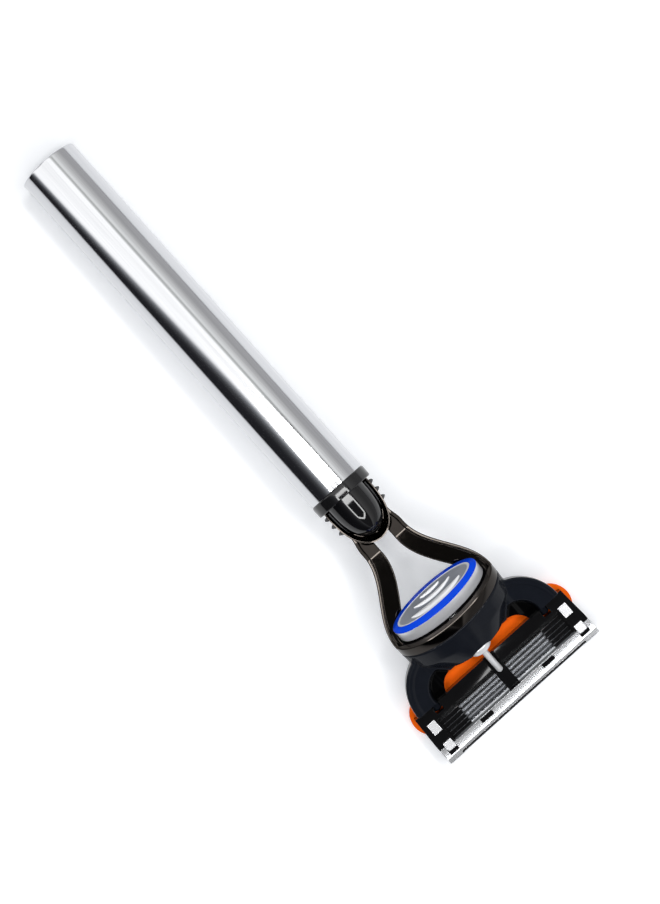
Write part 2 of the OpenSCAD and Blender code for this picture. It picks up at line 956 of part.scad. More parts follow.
module trimmer_carrier() {
    ear_y = [clip_y[0] - run_gap, unit_w / 2 - run_gap];
    tab_seat = [tab_x[1] - tab_x[0] + 2 * seat_gap, tab_y[1] - tab_y[0] + 2 * seat_gap];
    slot_side = 0.1;
    slot_end = 0.2;
    color([0.85, 0.86, 0.88])
        unit_frame()
            translate([0, 0, unit_t])
                linear_extrude(carrier_t)
                    difference() {
                        union() {
                            translate([carrier_x[0], -ear_y[1]])
                                square([carrier_x[1] - carrier_x[0], 2 * ear_y[1]]);
                            for (y = [-ear_y[1], ear_y[0]])
                                translate([ear_x[0], y])
                                    square([ear_x[1] - ear_x[0], ear_y[1] - ear_y[0]]);
                        }
                        for (side = [0, 1])
                            mirror([0, side]) {
                                translate([tab_x[0] - seat_gap, tab_y[0] - seat_gap])
                                    square(tab_seat);
                                translate([slot_x[0], clip_y[0] - slot_side])
                                    square([slot_x[1] - slot_x[0], clip_w + slot_side + slot_end]);
                            }
                    }
}

module trimmer_blade() {
    y = window_w / 2 - seat_gap;
    edge = unit_front + trimmer_out;
    bevel = 0.3;
    low = trimmer_z[0] + seat_gap;
    high = trimmer_z[1] - seat_gap;
    color([0.92, 0.93, 0.94])
        unit_frame()
            across(-y, y)
                polygon([
                    [trimmer_back + seat_gap, low],
                    [edge - bevel, low],
                    [edge, (low + high) / 2],
                    [edge - bevel, high],
                    [trimmer_back + seat_gap, high]
                ]);
}

// The blades lean back at this angle.
blade_lean = 21.5;
blade_rise = heel * tan(blade_lean);
platform_z = blade_t / cos(blade_lean);

module blade(i) {
    bevel = 0.15;
    color([0.9, 0.91, 0.92])
        unit_frame()
            across(-blade_l / 2, blade_l / 2)
                translate([edge_x(i), edge_z])
                    polygon([
                        [0, 0],
                        [heel, blade_rise],
                        [heel, blade_rise + platform_z],
                        [bevel, bevel * tan(blade_lean) + platform_z]
                    ]);
}

// A strip bent into a platform under the blade and an upright leg.
module blade_support(i) {
    deck = platform_z + run_gap / 2;
    deck_x = 0.4;
    deck_t = support_t / cos(blade_lean);
    color([0.75, 0.76, 0.78])
        unit_frame()
            across(-blade_l / 2, blade_l / 2)
                translate([edge_x(i), edge_z])
                    polygon([
                        [deck_x, deck_x * tan(blade_lean) + deck],
                        [heel, blade_rise + deck],
                        [heel, support_top - edge_z],
                        [leg_offset, support_top - edge_z],
                        [leg_offset, leg_offset * tan(blade_lean) + deck + deck_t],
                        [deck_x, deck_x * tan(blade_lean) + deck + deck_t]
                    ]);
}

handle_tube();
tube_insert();
neck_screw();
collar_ring();
fork_frame();
neck_dome();
grip_pad();
dock_body();
return_spring();
button_body();
button_ring();
button_pad();
ejector_arms();
plunger();
yoke();
blade_housing();
comfort_guard();
lubricating_strip();
spring_fingers();
clip_left();
clip_right();
trimmer_carrier();
trimmer_blade();
for (i = blade_ids) blade(i);
for (i = blade_ids) blade_support(i);
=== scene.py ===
# %% [markdown]
# # A cartridge razor on a white table
# The razor lies on its blades with its back up: a satin steel tube, a black collar and dome, a dark
# plated fork that holds the release button, and a clip-on head with five blades and a rubber guard.
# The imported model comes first, as a fixed frame in metres. Its joints and mounts give the axes that
# the new surfaces are built on, so every piece lands where the solids are.

# %% The frame and its axes
import json
import math

import bmesh
import bpy
import numpy as np
from mathutils import Matrix


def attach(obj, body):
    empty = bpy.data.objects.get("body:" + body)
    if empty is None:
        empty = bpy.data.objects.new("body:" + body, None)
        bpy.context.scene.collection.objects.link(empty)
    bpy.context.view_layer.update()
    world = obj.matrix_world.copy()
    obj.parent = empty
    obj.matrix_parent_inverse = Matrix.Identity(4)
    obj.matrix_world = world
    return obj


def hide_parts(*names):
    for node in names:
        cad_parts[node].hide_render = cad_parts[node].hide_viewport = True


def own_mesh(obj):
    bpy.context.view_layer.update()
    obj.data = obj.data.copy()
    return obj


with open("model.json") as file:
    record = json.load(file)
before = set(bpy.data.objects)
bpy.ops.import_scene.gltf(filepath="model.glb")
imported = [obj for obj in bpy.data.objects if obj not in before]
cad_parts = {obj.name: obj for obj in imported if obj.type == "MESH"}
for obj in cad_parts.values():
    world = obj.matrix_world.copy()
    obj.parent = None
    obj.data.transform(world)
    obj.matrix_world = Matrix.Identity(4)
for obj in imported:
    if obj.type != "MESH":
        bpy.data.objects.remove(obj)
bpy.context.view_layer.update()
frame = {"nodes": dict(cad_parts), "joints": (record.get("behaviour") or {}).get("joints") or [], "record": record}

MM = 0.001
SIDEWAYS = np.array([0.0, 1.0, 0.0])
joints = {joint["name"]: joint for joint in frame["joints"]}
mounts = {mount["name"]: mount for mount in frame["record"]["mounts"]}
body_of = {node: body for body, nodes in frame["record"]["behaviour"]["bodies"].items() for node in nodes}


def axes_from(origin, along):
    """Two functions, to the world and back, for points with x along, y sideways and z across both."""
    rows = np.stack([along, SIDEWAYS, np.cross(along, SIDEWAYS)])

    def to_world(points):
        return origin + np.asarray(points, float) @ rows

    def to_local(points):
        return (np.asarray(points, float) - origin) @ rows.T

    return to_world, to_local


grip = mounts["handle_grip"]
tube_axis = -np.array(grip["axis"])
collar_face = np.array(grip["pos_m"]) / MM + tube_axis * grip["dims"]["length_mm"] / 2
on_handle = axes_from(collar_face, tube_axis)[0]

HEAD_REACH, HEAD_DROP = 34.6, 1.6
hoop_centre = on_handle([HEAD_REACH, 0, -HEAD_DROP])
dock_axis = np.array(joints["button_push"]["axis"])
on_dock, in_dock = axes_from(hoop_centre, dock_axis)

pivot = np.array(joints["head_pivot"]["pos_m"]) / MM
print("hoop's front at", hoop_centre.round(2), "mm, pivot at", pivot.round(2), "mm")

# %% [markdown]
# ## From numbers to surfaces
# A turned tube, a lofted arm and a swept hoop are all the same thing: a grid of points. So one helper
# makes every mesh. It joins neighbouring points of a grid into quads, merges the points that fall
# together, which closes seams and poles, and turns the faces outwards. A second helper rounds the
# corners of an outline, because no edge on the real razor is perfectly sharp.

# %% Grids, rounded outlines and turned shapes
MERGE = 2e-7
CRISP = 38
LEAST_SIDE = 1e-9


def skin(name, sheets, crisp=CRISP):
    """One object from grids of points in millimetres: neighbours become quads, meeting points merge."""
    points = np.concatenate([sheet.reshape(-1, 3) for sheet in sheets]) * MM
    quads = []
    start = 0
    for sheet in sheets:
        rows, columns = sheet.shape[:2]
        at = start + np.arange(rows * columns).reshape(rows, columns)
        quads.append(np.stack([at[:-1, :-1], at[:-1, 1:], at[1:, 1:], at[1:, :-1]], -1).reshape(-1, 4))
        start += rows * columns
    mesh = bpy.data.meshes.new(name)
    mesh.from_pydata(points.tolist(), [], np.concatenate(quads).tolist())
    return settle(name, mesh, crisp)


def settle(name, mesh, crisp):
    """Merges doubled points, turns faces outwards, shades the mesh smooth and links it as an object."""
    work = bmesh.new()
    work.from_mesh(mesh)
    bmesh.ops.remove_doubles(work, verts=work.verts, dist=MERGE)
    bmesh.ops.recalc_face_normals(work, faces=work.faces)
    work.to_mesh(mesh)
    work.free()
    mesh.polygons.foreach_set("use_smooth", np.ones(len(mesh.polygons), bool))
    mesh.set_sharp_from_angle(angle=math.radians(crisp))
    piece = bpy.data.objects.new(name, mesh)
    bpy.context.scene.collection.objects.link(piece)
    return piece


def rounded(corners, radii, steps=7):
    """A closed outline with curved corners: each curve joins two sides, with the corner as its handle."""
    corners = np.asarray(corners, float)
    radii = np.broadcast_to(np.asarray(radii, float), corners.shape[:-1])[..., None]
    to_last = np.roll(corners, 1, -2) - corners
    to_next = np.roll(corners, -1, -2) - corners
    first = np.linalg.norm(to_last, axis=-1, keepdims=True) + LEAST_SIDE
    second = np.linalg.norm(to_next, axis=-1, keepdims=True) + LEAST_SIDE
    start = corners + to_last / first * np.minimum(radii, first / 2)
    end = corners + to_next / second * np.minimum(radii, second / 2)
    t = np.linspace(0, 1, steps)[:, None]
    curve = (
        (1 - t) ** 2 * start[..., None, :]
        + 2 * t * (1 - t) * corners[..., None, :]
        + t**2 * end[..., None, :]
    )
    loop = curve.reshape(*corners.shape[:-2], -1, corners.shape[-1])
    return np.concatenate([loop, loop[..., :1, :]], -2)


def turned(outline, sides=144):
    """A grid from an outline of (place, radius) turned once about the x axis: y = r cos, z = r sin."""
    angle = np.linspace(0, 2 * np.pi, sides + 1)
    x, r = outline[:, 0, None], outline[:, 1, None]
    return np.stack([x + 0 * angle, r * np.cos(angle), r * np.sin(angle)], -1)


def capped(grid):
    """The same grid with its first and last rows drawn in to their middles, so that its ends are closed."""
    first = np.broadcast_to(grid[:1].mean(1, keepdims=True), grid[:1].shape)
    last = np.broadcast_to(grid[-1:].mean(1, keepdims=True), grid[-1:].shape)
    return np.concatenate([first, grid, last])


def bullet(x, radius, length, start):
    """Radius of a bullet's nose at x: the full radius times the root of one less u cubed."""
    u = np.clip((x - start) / length, 0, 1)
    return radius * np.sqrt(1 - u**3)


def ease(u):
    """Half a turn of a cosine, from 0 to 1."""
    return (1 - np.cos(np.pi * np.clip(u, 0, 1))) / 2


print("helpers ready, doubles merge within", MERGE / MM, "mm")

# %% [markdown]
# ## Shader sums in plain Python
# A finish is a little formula, such as a base roughness plus a bit of noise. The class below wraps a
# node's output, so that the formula can be written with + and *, and each sign adds a Math node.
# All other nodes come from one method, which takes the node's type, its settings and its inputs.


# %% A wire with arithmetic, and a sheet that holds its nodes
class Wire:
    """The output of a node, on which plain arithmetic adds Math nodes."""

    def __init__(self, sheet, socket):
        self.sheet = sheet
        self.socket = socket

    def join(self, operation, first, second):
        return self.sheet.node("ShaderNodeMath", {"operation": operation}, {0: first, 1: second})

    def __add__(self, other):
        return self.join("ADD", self, other)

    def __radd__(self, other):
        return self.join("ADD", other, self)

    def __sub__(self, other):
        return self.join("SUBTRACT", self, other)

    def __rsub__(self, other):
        return self.join("SUBTRACT", other, self)

    def __mul__(self, other):
        return self.join("MULTIPLY", self, other)

    def __rmul__(self, other):
        return self.join("MULTIPLY", other, self)

    def __truediv__(self, other):
        return self.join("DIVIDE", self, other)

    def __rtruediv__(self, other):
        return self.join("DIVIDE", other, self)

    def __pow__(self, other):
        return self.join("POWER", self, other)

    def __rpow__(self, other):
        return self.join("POWER", other, self)

    def __neg__(self):
        return self.join("SUBTRACT", 0.0, self)

    def __abs__(self):
        return self.sheet.node("ShaderNodeMath", {"operation": "ABSOLUTE"}, {0: self})

    def clamped(self):
        return self.sheet.node("ShaderNodeClamp", {}, {"Value": self})


class Sheet:
    """A node tree that is filled by one method."""

    def __init__(self, tree):
        self.tree = tree
        tree.nodes.clear()

    def node(self, kind, settings, inputs, output=0):
        """Adds a node of that type, sets it up, feeds its sockets and gives its named outputs as Wires."""
        made = self.tree.nodes.new(kind)
        for name, value in settings.items():
            if name == "stops":
                self.fill_ramp(made.color_ramp, value)
            else:
                setattr(made, name, value)
        for key, value in inputs.items():
            if isinstance(value, Wire):
                self.tree.links.new(value.socket, made.inputs[key])
            else:
                made.inputs[key].default_value = value
        if isinstance(output, tuple):
            return [Wire(self, made.outputs[name]) for name in output]
        return Wire(self, made.outputs[output]) if len(made.outputs) else made

    def fill_ramp(self, ramp, stops):
        """Gives a ramp its stops, each a place and a colour."""
        while len(ramp.elements) < len(stops):
            ramp.elements.new(1.0)
        for element, (place, colour) in zip(ramp.elements, stops):
            element.position = place
            element.color = (*colour, 1)


finishes = {}


def finish(slot, fixed, varied):
    """A material for one of the record's slots: a Principled shader with fixed numbers and varied wires."""
    material = bpy.data.materials.new(slot)
    material.use_nodes = True
    sheet = Sheet(material.node_tree)
    shader = sheet.node("ShaderNodeBsdfPrincipled", {}, {**fixed, **varied(sheet)})
    sheet.node("ShaderNodeOutputMaterial", {}, {"Surface": shader})
    finishes[slot] = material


def grain(sheet, scale, detail=3.0, stretch=(1, 1, 1), turn=0.0):
    """Noise over the piece's own coordinates, drawn out by stretch after a turn about the sideways axis."""
    place = sheet.node("ShaderNodeTexCoord", {}, {}, "Object")
    place = sheet.node("ShaderNodeMapping", {}, {"Vector": place, "Rotation": (0, turn, 0)})
    place = sheet.node("ShaderNodeMapping", {}, {"Vector": place, "Scale": stretch})
    return sheet.node(
        "ShaderNodeTexNoise", {}, {"Vector": place, "Scale": scale, "Detail": detail, "Roughness": 0.55}
    )


def between(sheet, share, low, high):
    """A colour that goes from low to high with the share."""
    first, second = [end if isinstance(end, Wire) else (*end, 1) for end in (low, high)]
    return sheet.node("ShaderNodeMix", {"data_type": "RGBA"}, {0: share, 6: first, 7: second}, 2)


def dents(sheet, height, depth):
    """A Bump node's normal from a height between 0 and 1, with that depth in metres."""
    return sheet.node("ShaderNodeBump", {}, {"Height": height, "Strength": 1.0, "Distance": depth})


print("shader helpers ready")

# %% [markdown]
# ## Metals
# The tube is satin stainless steel: fine lines run along it, so the noise is drawn out along the tube
# and shifts both roughness and normal a little. The fork has a dark plating, nearly black and very
# smooth, that shows only bright lines of light on its edges. The head's strip, clips and blades are
# bright rolled steel and aluminium, with lines across the head.

# %% Metal finishes
TILT = math.asin(tube_axis[2])
ALONG_TUBE = (0.02, 1, 1)
ALONG_BLADES = (1, 0.02, 1)


def metal(slot, low, high, rough, spread, scale, stretch, turn, depth):
    """A metal whose colour, roughness and normal follow one drawn-out noise."""

    def varied(sheet):
        lines = grain(sheet, scale, stretch=stretch, turn=turn)
        return {
            "Base Color": between(sheet, lines, low, high),
            "Roughness": lines * spread + (rough - spread / 2),
            "Normal": dents(sheet, lines, depth),
        }

    finish(slot, {"Metallic": 1.0}, varied)


metal("steel_tube", (0.60, 0.61, 0.63), (0.74, 0.745, 0.76), 0.11, 0.05, 2500, ALONG_TUBE, TILT, 6e-7)
metal("fork_gunmetal", (0.032, 0.028, 0.025), (0.042, 0.037, 0.033), 0.07, 0.04, 900, (1, 1, 1), 0, 2e-7)
metal("clip_aluminium", (0.78, 0.79, 0.81), (0.88, 0.88, 0.90), 0.24, 0.03, 3000, ALONG_BLADES, 0, 2e-7)
metal("carrier_bright", (0.58, 0.59, 0.61), (0.74, 0.75, 0.77), 0.19, 0.02, 3000, ALONG_BLADES, 0, 1e-7)
metal("blade_steel", (0.62, 0.63, 0.65), (0.76, 0.77, 0.79), 0.14, 0.03, 3500, ALONG_BLADES, 0, 2e-7)
metal("support_steel", (0.52, 0.53, 0.55), (0.68, 0.69, 0.71), 0.13, 0.02, 3000, ALONG_BLADES, 0, 1e-7)
metal("spring_steel", (0.60, 0.61, 0.63), (0.75, 0.76, 0.78), 0.25, 0.10, 4000, (1, 1, 1), 0, 1e-6)
metal("screw_steel", (0.36, 0.36, 0.38), (0.46, 0.46, 0.48), 0.35, 0.15, 2500, (1, 1, 1), 0, 2e-6)
metal("brass_insert", (0.62, 0.45, 0.18), (0.80, 0.62, 0.30), 0.28, 0.12, 2000, (1, 1, 1), 0, 2e-6)
print(len(finishes), "metal finishes")

# %% [markdown]
# ## Plastics and rubber
# Collar and dome are black high-gloss plastic, the yoke a satin blue-black, the housing a plain
# moulded black. Moulded plastic is never quite even: a slow noise shifts its colour, and a fine one
# gives the skin of the mould as a shallow bump. Guard and grip pad are rubber, so they are rougher.

# %% Plastic and rubber finishes
CLOUD = 12


def moulded(slot, low, high, rough, spread, scale, depth, mark=None, marked=None, **fixed):
    """A moulded material: slow noise for its colour, fine noise for its skin, and a mark that recolours it, for
    painted highlight on the button and painted shade on the yoke.
    """

    def varied(sheet):
        cloud = grain(sheet, scale / CLOUD, detail=2.0)
        skin_noise = grain(sheet, scale, detail=4.0)
        colour = between(sheet, cloud, low, high)
        if mark:
            share = sheet.node("ShaderNodeAttribute", {"attribute_name": mark}, {}, "Fac")
            colour = between(sheet, share, colour, marked)
        return {
            "Base Color": colour,
            "Roughness": skin_noise * spread + (rough - spread / 2),
            "Normal": dents(sheet, skin_noise, depth),
        }

    finish(slot, {key.replace("_", " "): value for key, value in fixed.items()}, varied)


CREST, HOLLOW = "crest", "hollow"
# The crest white is partly the ridges' own lighter tone and partly painted highlight; the hollow colour is painted
# shade.
CREST_WHITE_AND_HIGHLIGHT, HOLLOW_PAINTED_SHADE = (0.86, 0.87, 0.89), (0.0006, 0.0006, 0.0008)

moulded("collar_black", (0.004, 0.004, 0.0045), (0.008, 0.008, 0.009), 0.07, 0.04, 2500, 2e-7)
moulded("dome_black", (0.003, 0.003, 0.0035), (0.005, 0.005, 0.006), 0.05, 0.03, 900, 2e-7)
moulded("pad_rubber", (0.022, 0.023, 0.026), (0.042, 0.043, 0.047), 0.55, 0.15, 4000, 4e-6)
moulded("dock_black", (0.008, 0.008, 0.010), (0.015, 0.015, 0.018), 0.45, 0.12, 3000, 2e-6)
moulded("button_silver", (0.70, 0.71, 0.74), (0.80, 0.81, 0.84), 0.30, 0.08, 5000, 5e-7, Metallic=0.5)
moulded("plunger_silver", (0.76, 0.77, 0.79), (0.84, 0.85, 0.87), 0.24, 0.08, 4000, 4e-7, Metallic=0.25)
moulded("strip_pale", (0.55, 0.66, 0.70), (0.70, 0.78, 0.82), 0.55, 0.15, 2500, 4e-6)
# Painted highlight: the crest mark whitens the ridge crests, partly their own lighter tone, and the edge bead.
moulded(
    "button_grey", (0.20, 0.215, 0.25), (0.27, 0.285, 0.32), 0.34, 0.08, 4000, 5e-7,
    CREST, CREST_WHITE_AND_HIGHLIGHT, Metallic=0.2,
)
moulded(
    "button_blue", (0.001, 0.048, 0.60), (0.002, 0.064, 0.72), 0.12, 0.04, 3000, 2e-7,
    Specular_IOR_Level=0.08,
)
# Painted shade: the hollow mark turns the yoke's round hollow near black, for the shade that falls in it.
moulded(
    "yoke_black", (0.0065, 0.0078, 0.0115), (0.0090, 0.0108, 0.0155), 0.13, 0.05, 5000, 6e-7,
    HOLLOW, HOLLOW_PAINTED_SHADE, Specular_IOR_Level=0.11,
)
moulded(
    "housing_black", (0.002, 0.002, 0.0024), (0.004, 0.004, 0.0046), 0.11, 0.05, 4000, 3e-7,
    Specular_IOR_Level=0.28,
)
moulded(
    "guard_orange", (1.0, 0.122, 0.0004), (1.0, 0.152, 0.0010), 0.50, 0.12, 4500, 2e-6,
    Specular_IOR_Level=0.05,
)
print(len(finishes), "finishes in all")

# %% [markdown]
# ## Tube, collar and dome
# These three are turned on the same axis. An outline of (place, radius) with small curves at its
# corners is carried once round the axis. The tube keeps its hollow, so that it is a real tube, and
# the dome is only the upper half of a bullet, closed by a flat base that sits in the neck's groove.
# Every piece is dressed when it is made: it gets its finish and its body, and the solids that it stands for are
# hidden.

# %% Turned pieces
slot_of = {part["node"]: part["material_slot"] for part in frame["record"]["subparts"]}


def dress(piece, *nodes):
    """Gives a piece its finish, body and slot, which are those of the solids that it stands for."""
    slot = slot_of[nodes[0]]
    piece.data.materials.clear()
    piece.data.materials.append(finishes[slot])
    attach(piece, body_of[nodes[0]])
    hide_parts(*nodes)
    low, high = np.array(piece.bound_box).min(0) / MM, np.array(piece.bound_box).max(0) / MM
    print(piece.name, len(piece.data.polygons), "faces, size", (high - low).round(1), "mm")
    return piece


TUBE_R, TUBE_WALL, TUBE_END = grip["dims"]["r_mm"], 1.2, 2.0
TUBE_BEVEL, MOUTH_ROUND, FLOOR_ROUND = 0.4, 0.12, 0.3
TUBE_L = grip["dims"]["length_mm"] + TUBE_BEVEL
COLLAR_W, COLLAR_R, COLLAR_ROUND, SCREW_R = 2.6, 6.9, 0.35, 2.53

tube_outline = rounded(
    [
        (-TUBE_L, 0),
        (-TUBE_L, TUBE_R),
        (0, TUBE_R),
        (0, TUBE_R - TUBE_WALL),
        (TUBE_END - TUBE_L, TUBE_R - TUBE_WALL),
        (TUBE_END - TUBE_L, 0),
    ],
    [0, TUBE_BEVEL, MOUTH_ROUND, 0, FLOOR_ROUND, 0],
)
dress(skin("tube_shell", [on_handle(turned(tube_outline))]), "handle_tube")

collar_corners = [(0, SCREW_R), (0, COLLAR_R), (COLLAR_W, COLLAR_R), (COLLAR_W, SCREW_R)]
collar_outline = rounded(collar_corners, [0, COLLAR_ROUND, COLLAR_ROUND, 0])
dress(skin("collar", [on_handle(turned(collar_outline))]), "collar_ring")

DOME_R, DOME_L, DOME_SINK = 4.85, 9.8, 0.2
NOSE_ROWS, HALF_RING = 72, 73


def nose_stations(length):
    """Places along a bullet, closer together towards its tip: the sine of even angles."""
    return COLLAR_W + length * np.sin(np.linspace(0, np.pi / 2, NOSE_ROWS))


def dome_grid():
    """Upper half of a bullet: half rings over a flat base that is sunk a little into the neck."""
    x = nose_stations(DOME_L)[:, None]
    r = bullet(x, DOME_R, DOME_L, COLLAR_W)
    angle = np.linspace(0, np.pi, HALF_RING)
    y = np.concatenate([r * np.cos(angle), -r, r, r], 1)
    z = np.concatenate([r * np.sin(angle), 0 * r - DOME_SINK, 0 * r - DOME_SINK, 0 * r], 1)
    return capped(np.stack([x + 0 * y, y, z], -1))


dress(skin("dome_cover", [on_handle(dome_grid())]), "neck_dome")

# %% [markdown]
# ## The fork's neck
# The fork is one casting: a neck under the dome, two arms and an oval hoop. The neck is half a bullet
# with a thin lip round its top, and a groove runs between lip and dome. Rows of half rings make it,
# because a lip that follows the bullet's outline is then only a second, smaller bullet. The lip's flat
# is tipped a little, so that it catches the light and draws the fork's thin bright line.

# %% Neck
NECK_R, NECK_L, LIP_W, GROOVE = 5.9, 11.5, 0.26, 1.3
LIP_ROUND, LIP_PARTS, LIP_CORNER, LIP_SLOPE = 0.03, 3, 0.3, 0.022
neck_end = COLLAR_W + NECK_L


def neck_grid():
    """Lower half of a bullet, topped by a lip and a groove that slopes from it to the dome's foot."""
    x = nose_stations(NECK_L)[:, None]
    r = bullet(x, NECK_R, NECK_L, COLLAR_W)
    inside = np.minimum(bullet(x, NECK_R - LIP_W, NECK_L - LIP_W, COLLAR_W), r)
    floor = np.minimum(bullet(x, DOME_R, DOME_L, COLLAR_W), inside)
    angle = np.linspace(np.pi, 2 * np.pi, HALF_RING)
    drop = np.minimum(LIP_ROUND, (r - inside) / LIP_PARTS)
    corner = LIP_CORNER * drop
    top = LIP_SLOPE * (x - COLLAR_W)
    right_y = [r, r - corner, r - drop, inside + drop, inside, floor]
    right_z = [top - drop, top - corner, top, top, top - drop, top - GROOVE]
    y = np.concatenate([r * np.cos(angle), *right_y, *[-v for v in right_y[::-1]], -r], 1)
    z = np.concatenate([r * np.sin(angle) - drop, *right_z, *right_z[::-1], top - drop], 1)
    return capped(np.stack([x + 0 * y, y, z], -1))


fork_sheets = [on_handle(neck_grid())]
print("neck of", fork_sheets[0].shape[:2], "points, ending", round(neck_end, 2), "mm from the tube")

# %% [markdown]
# ## The fork's arms
# An arm is a bar with a rim along its outside. It leaves the neck under the lip, rises and flares out to
# the hoop. A bar could be swept along a curve, but its two sides flare at different rates, so each edge is
# its own cosine curve of x, and every station has its own rounded outline. The button slides between the
# arms, so their inner walls keep clear of an oval tunnel, at five heights each.

# %% Arms
HOOP_A, HOOP_B, HOOP_WALL, HOOP_L = 13.3, 6.5, 1.2, 2.8
ARMS_W, GAP_W, RIM_W, ARM_DEPTH = 11.3, 4.0, 0.8, 4.4
ARM_START, ARM_END, ROOT_L, ROOT_IN = 9.7, HEAD_REACH - 1.2, 4.0, 0.6
FLARE_START, FLARE_END = neck_end + 0.4, HEAD_REACH - 1.6
PART_START, PART_L, PART_SHARE = FLARE_START + 2, HEAD_REACH - neck_end + 1, 0.81
RIM_LOW, RIM_Z, RIM_LIFT, RIM_STEP, FOOT_LIFT = -0.45, 0.7, 0.4, 0.5, 1.8
RIM_START, RIM_RISE_L = 11.2, 4.8
OPENING_A, OPENING_B, OPENING_T = 11.5, 4.6, -6.45
LEAST_WALL, WALL_STEPS, ARM_STATIONS = 0.4, 5, 120
ARM_ROUNDS = [0.30, 0.25, 0.25, 0.30, 0.1, 0.1, 0.1, 0.3, 0.5]


def tunnel(x, z):
    """Half-width of the button's oval opening at a point of the handle's frame, and none behind it."""
    place = in_dock(on_handle(np.stack([x, 0 * x, z], -1)))
    half = OPENING_A * np.sqrt(np.clip(1 - (place[..., 2] / OPENING_B) ** 2, 0, 1))
    return np.where(place[..., 0] > OPENING_T, half, 0)


def arm_grid(side):
    """A bar with a rim, carried along x: its edges rise and flare on cosine curves, clear of the tunnel."""
    x = np.linspace(ARM_START, ARM_END, ARM_STATIONS)
    root = ease((x - ARM_START) / ROOT_L)
    flare = ease((x - FLARE_START) / (FLARE_END - FLARE_START))
    parting = PART_SHARE * ease((x - PART_START) / PART_L)
    outer = ARMS_W / 2 - ROOT_IN * (1 - root) + (HOOP_A - ARMS_W / 2) * flare
    inner = GAP_W / 2 + (HOOP_A - GAP_W / 2) * parting
    top = RIM_LOW + (RIM_Z - RIM_LOW) * ease((x - RIM_START) / RIM_RISE_L) + RIM_LIFT * flare
    deck, bottom = top - RIM_STEP * (1 + flare), -ARM_DEPTH + FOOT_LIFT * flare
    rim = [np.maximum(outer - RIM_W, tunnel(x, z)) for z in (top, deck)]
    heights = [deck + (bottom - deck) * share for share in np.linspace(0, 1, WALL_STEPS)]
    wall = [np.minimum(np.maximum(inner, tunnel(x, z)), outer - LEAST_WALL) for z in heights]
    y = np.stack([outer, *rim, *wall, outer - RIM_W / 2], -1)
    z = np.stack([top, top, deck, *heights, bottom], -1)
    outline = rounded(np.stack([y, z], -1), ARM_ROUNDS)
    along = np.broadcast_to(x[:, None], outline.shape[:2])
    return capped(np.stack([along, side * outline[..., 0], outline[..., 1]], -1))


fork_sheets += [on_handle(arm_grid(side)) for side in (1, -1)]
print("two arms of", fork_sheets[-1].shape[:2], "points")

# %% [markdown]
# ## The fork's hoop
# The hoop is a rounded band carried round an oval, in the dock's frame. Its back edge is a narrow slope,
# which shows as a bright line, and it runs forward underneath. Neck, arms and hoop then go into one mesh,
# because they are one casting.

# %% Hoop
HOOP_SLOPE = 0.19
HOOP_SIDES, HOOP_ROUNDS = 240, [0.06, 0.15, 0.1, 0.1, 0.06]


def hoop_grid():
    """A band carried round an oval, its back edge a narrow slope that runs forward underneath."""
    angle = np.linspace(0, 2 * np.pi, HOOP_SIDES + 1)
    back = -HOOP_L + HOOP_L / 2 * np.clip(-np.sin(angle), 0, 1)
    zero = 0 * angle
    place = np.stack([back + HOOP_SLOPE, zero, zero, back, back], -1)
    height = np.stack([zero + HOOP_WALL, zero + HOOP_WALL, zero, zero, zero + HOOP_WALL - HOOP_SLOPE], -1)
    outline = rounded(np.stack([place, height], -1), HOOP_ROUNDS)
    t, wall = outline[..., 0], outline[..., 1]
    y = (HOOP_A - HOOP_WALL + wall) * np.cos(angle)[:, None]
    b = (HOOP_B - HOOP_WALL + wall) * np.sin(angle)[:, None]
    return np.stack([t, y, b], -1)


fork_sheets.append(on_dock(hoop_grid()))
dress(skin("fork_casting", fork_sheets), "fork_frame")

# %% [markdown]
# ## The grip pad
# A rubber pad lies under the neck, and the ends of its three ribs show on both sides. It is the lower
# part of the neck's bullet again, a little proud, with a ridge added to its radius at each rib. A
# ridge is half a cosine wave, because moulded rubber has round crests.

# %% Ribbed pad
PAD_X, PAD_L, PAD_TOP, PAD_T, PAD_PROUD = 3.0, 6.4, -0.8, 0.9, 0.06
PAD_ROUND, PAD_ROUND_L, PAD_ROWS, PAD_ARC = 0.25, 0.4, 150, 61
RIB_FIRST, RIB_PITCH, RIB_N, RIB_RISE, RIB_W = PAD_X + 0.7, 2.05, 3, 0.75, 1.15


def pad_arc(r):
    """Angles of an arc of radius r that hangs below the pad's top edge, from one side to the other."""
    start = np.arcsin(-PAD_TOP / r)
    return -start - np.linspace(0, 1, PAD_ARC) * (np.pi - 2 * start)


def pad_grid():
    """Rings below the pad's top edge: an outer arc with ridges, and an inner arc back."""
    x = np.linspace(PAD_X, PAD_X + PAD_L, PAD_ROWS)[:, None]
    rib = np.clip(np.round((x - RIB_FIRST) / RIB_PITCH), 0, RIB_N - 1)
    phase = (x - RIB_FIRST) - RIB_PITCH * rib
    ridge = RIB_RISE * np.cos(np.pi / 2 * np.clip(phase / (RIB_W / 2), -1, 1))
    end_ease = PAD_ROUND * (ease(np.minimum(x - PAD_X, PAD_X + PAD_L - x) / PAD_ROUND_L) - 1)
    base = bullet(x, NECK_R, NECK_L, COLLAR_W)
    outer, inner = base + PAD_PROUD + ridge + end_ease, base - PAD_T
    angle_out, angle_in = pad_arc(outer), pad_arc(inner)[:, ::-1]
    y = np.concatenate([outer * np.cos(angle_out), inner * np.cos(angle_in)], 1)
    z = np.concatenate([outer * np.sin(angle_out), inner * np.sin(angle_in)], 1)
    ring = np.stack([x + 0 * y, y, z], -1)
    return capped(np.concatenate([ring, ring[:, :1]], 1))


dress(skin("ribbed_pad", [on_handle(pad_grid())]), "grip_pad")

# %% [markdown]
# ## The release button's shell and ring
# A silver oval shell carries a blue ring. Both could be extruded outlines with a bevel, but an outline of
# (place, inset) carried round an oval gives every edge its own round in one step.

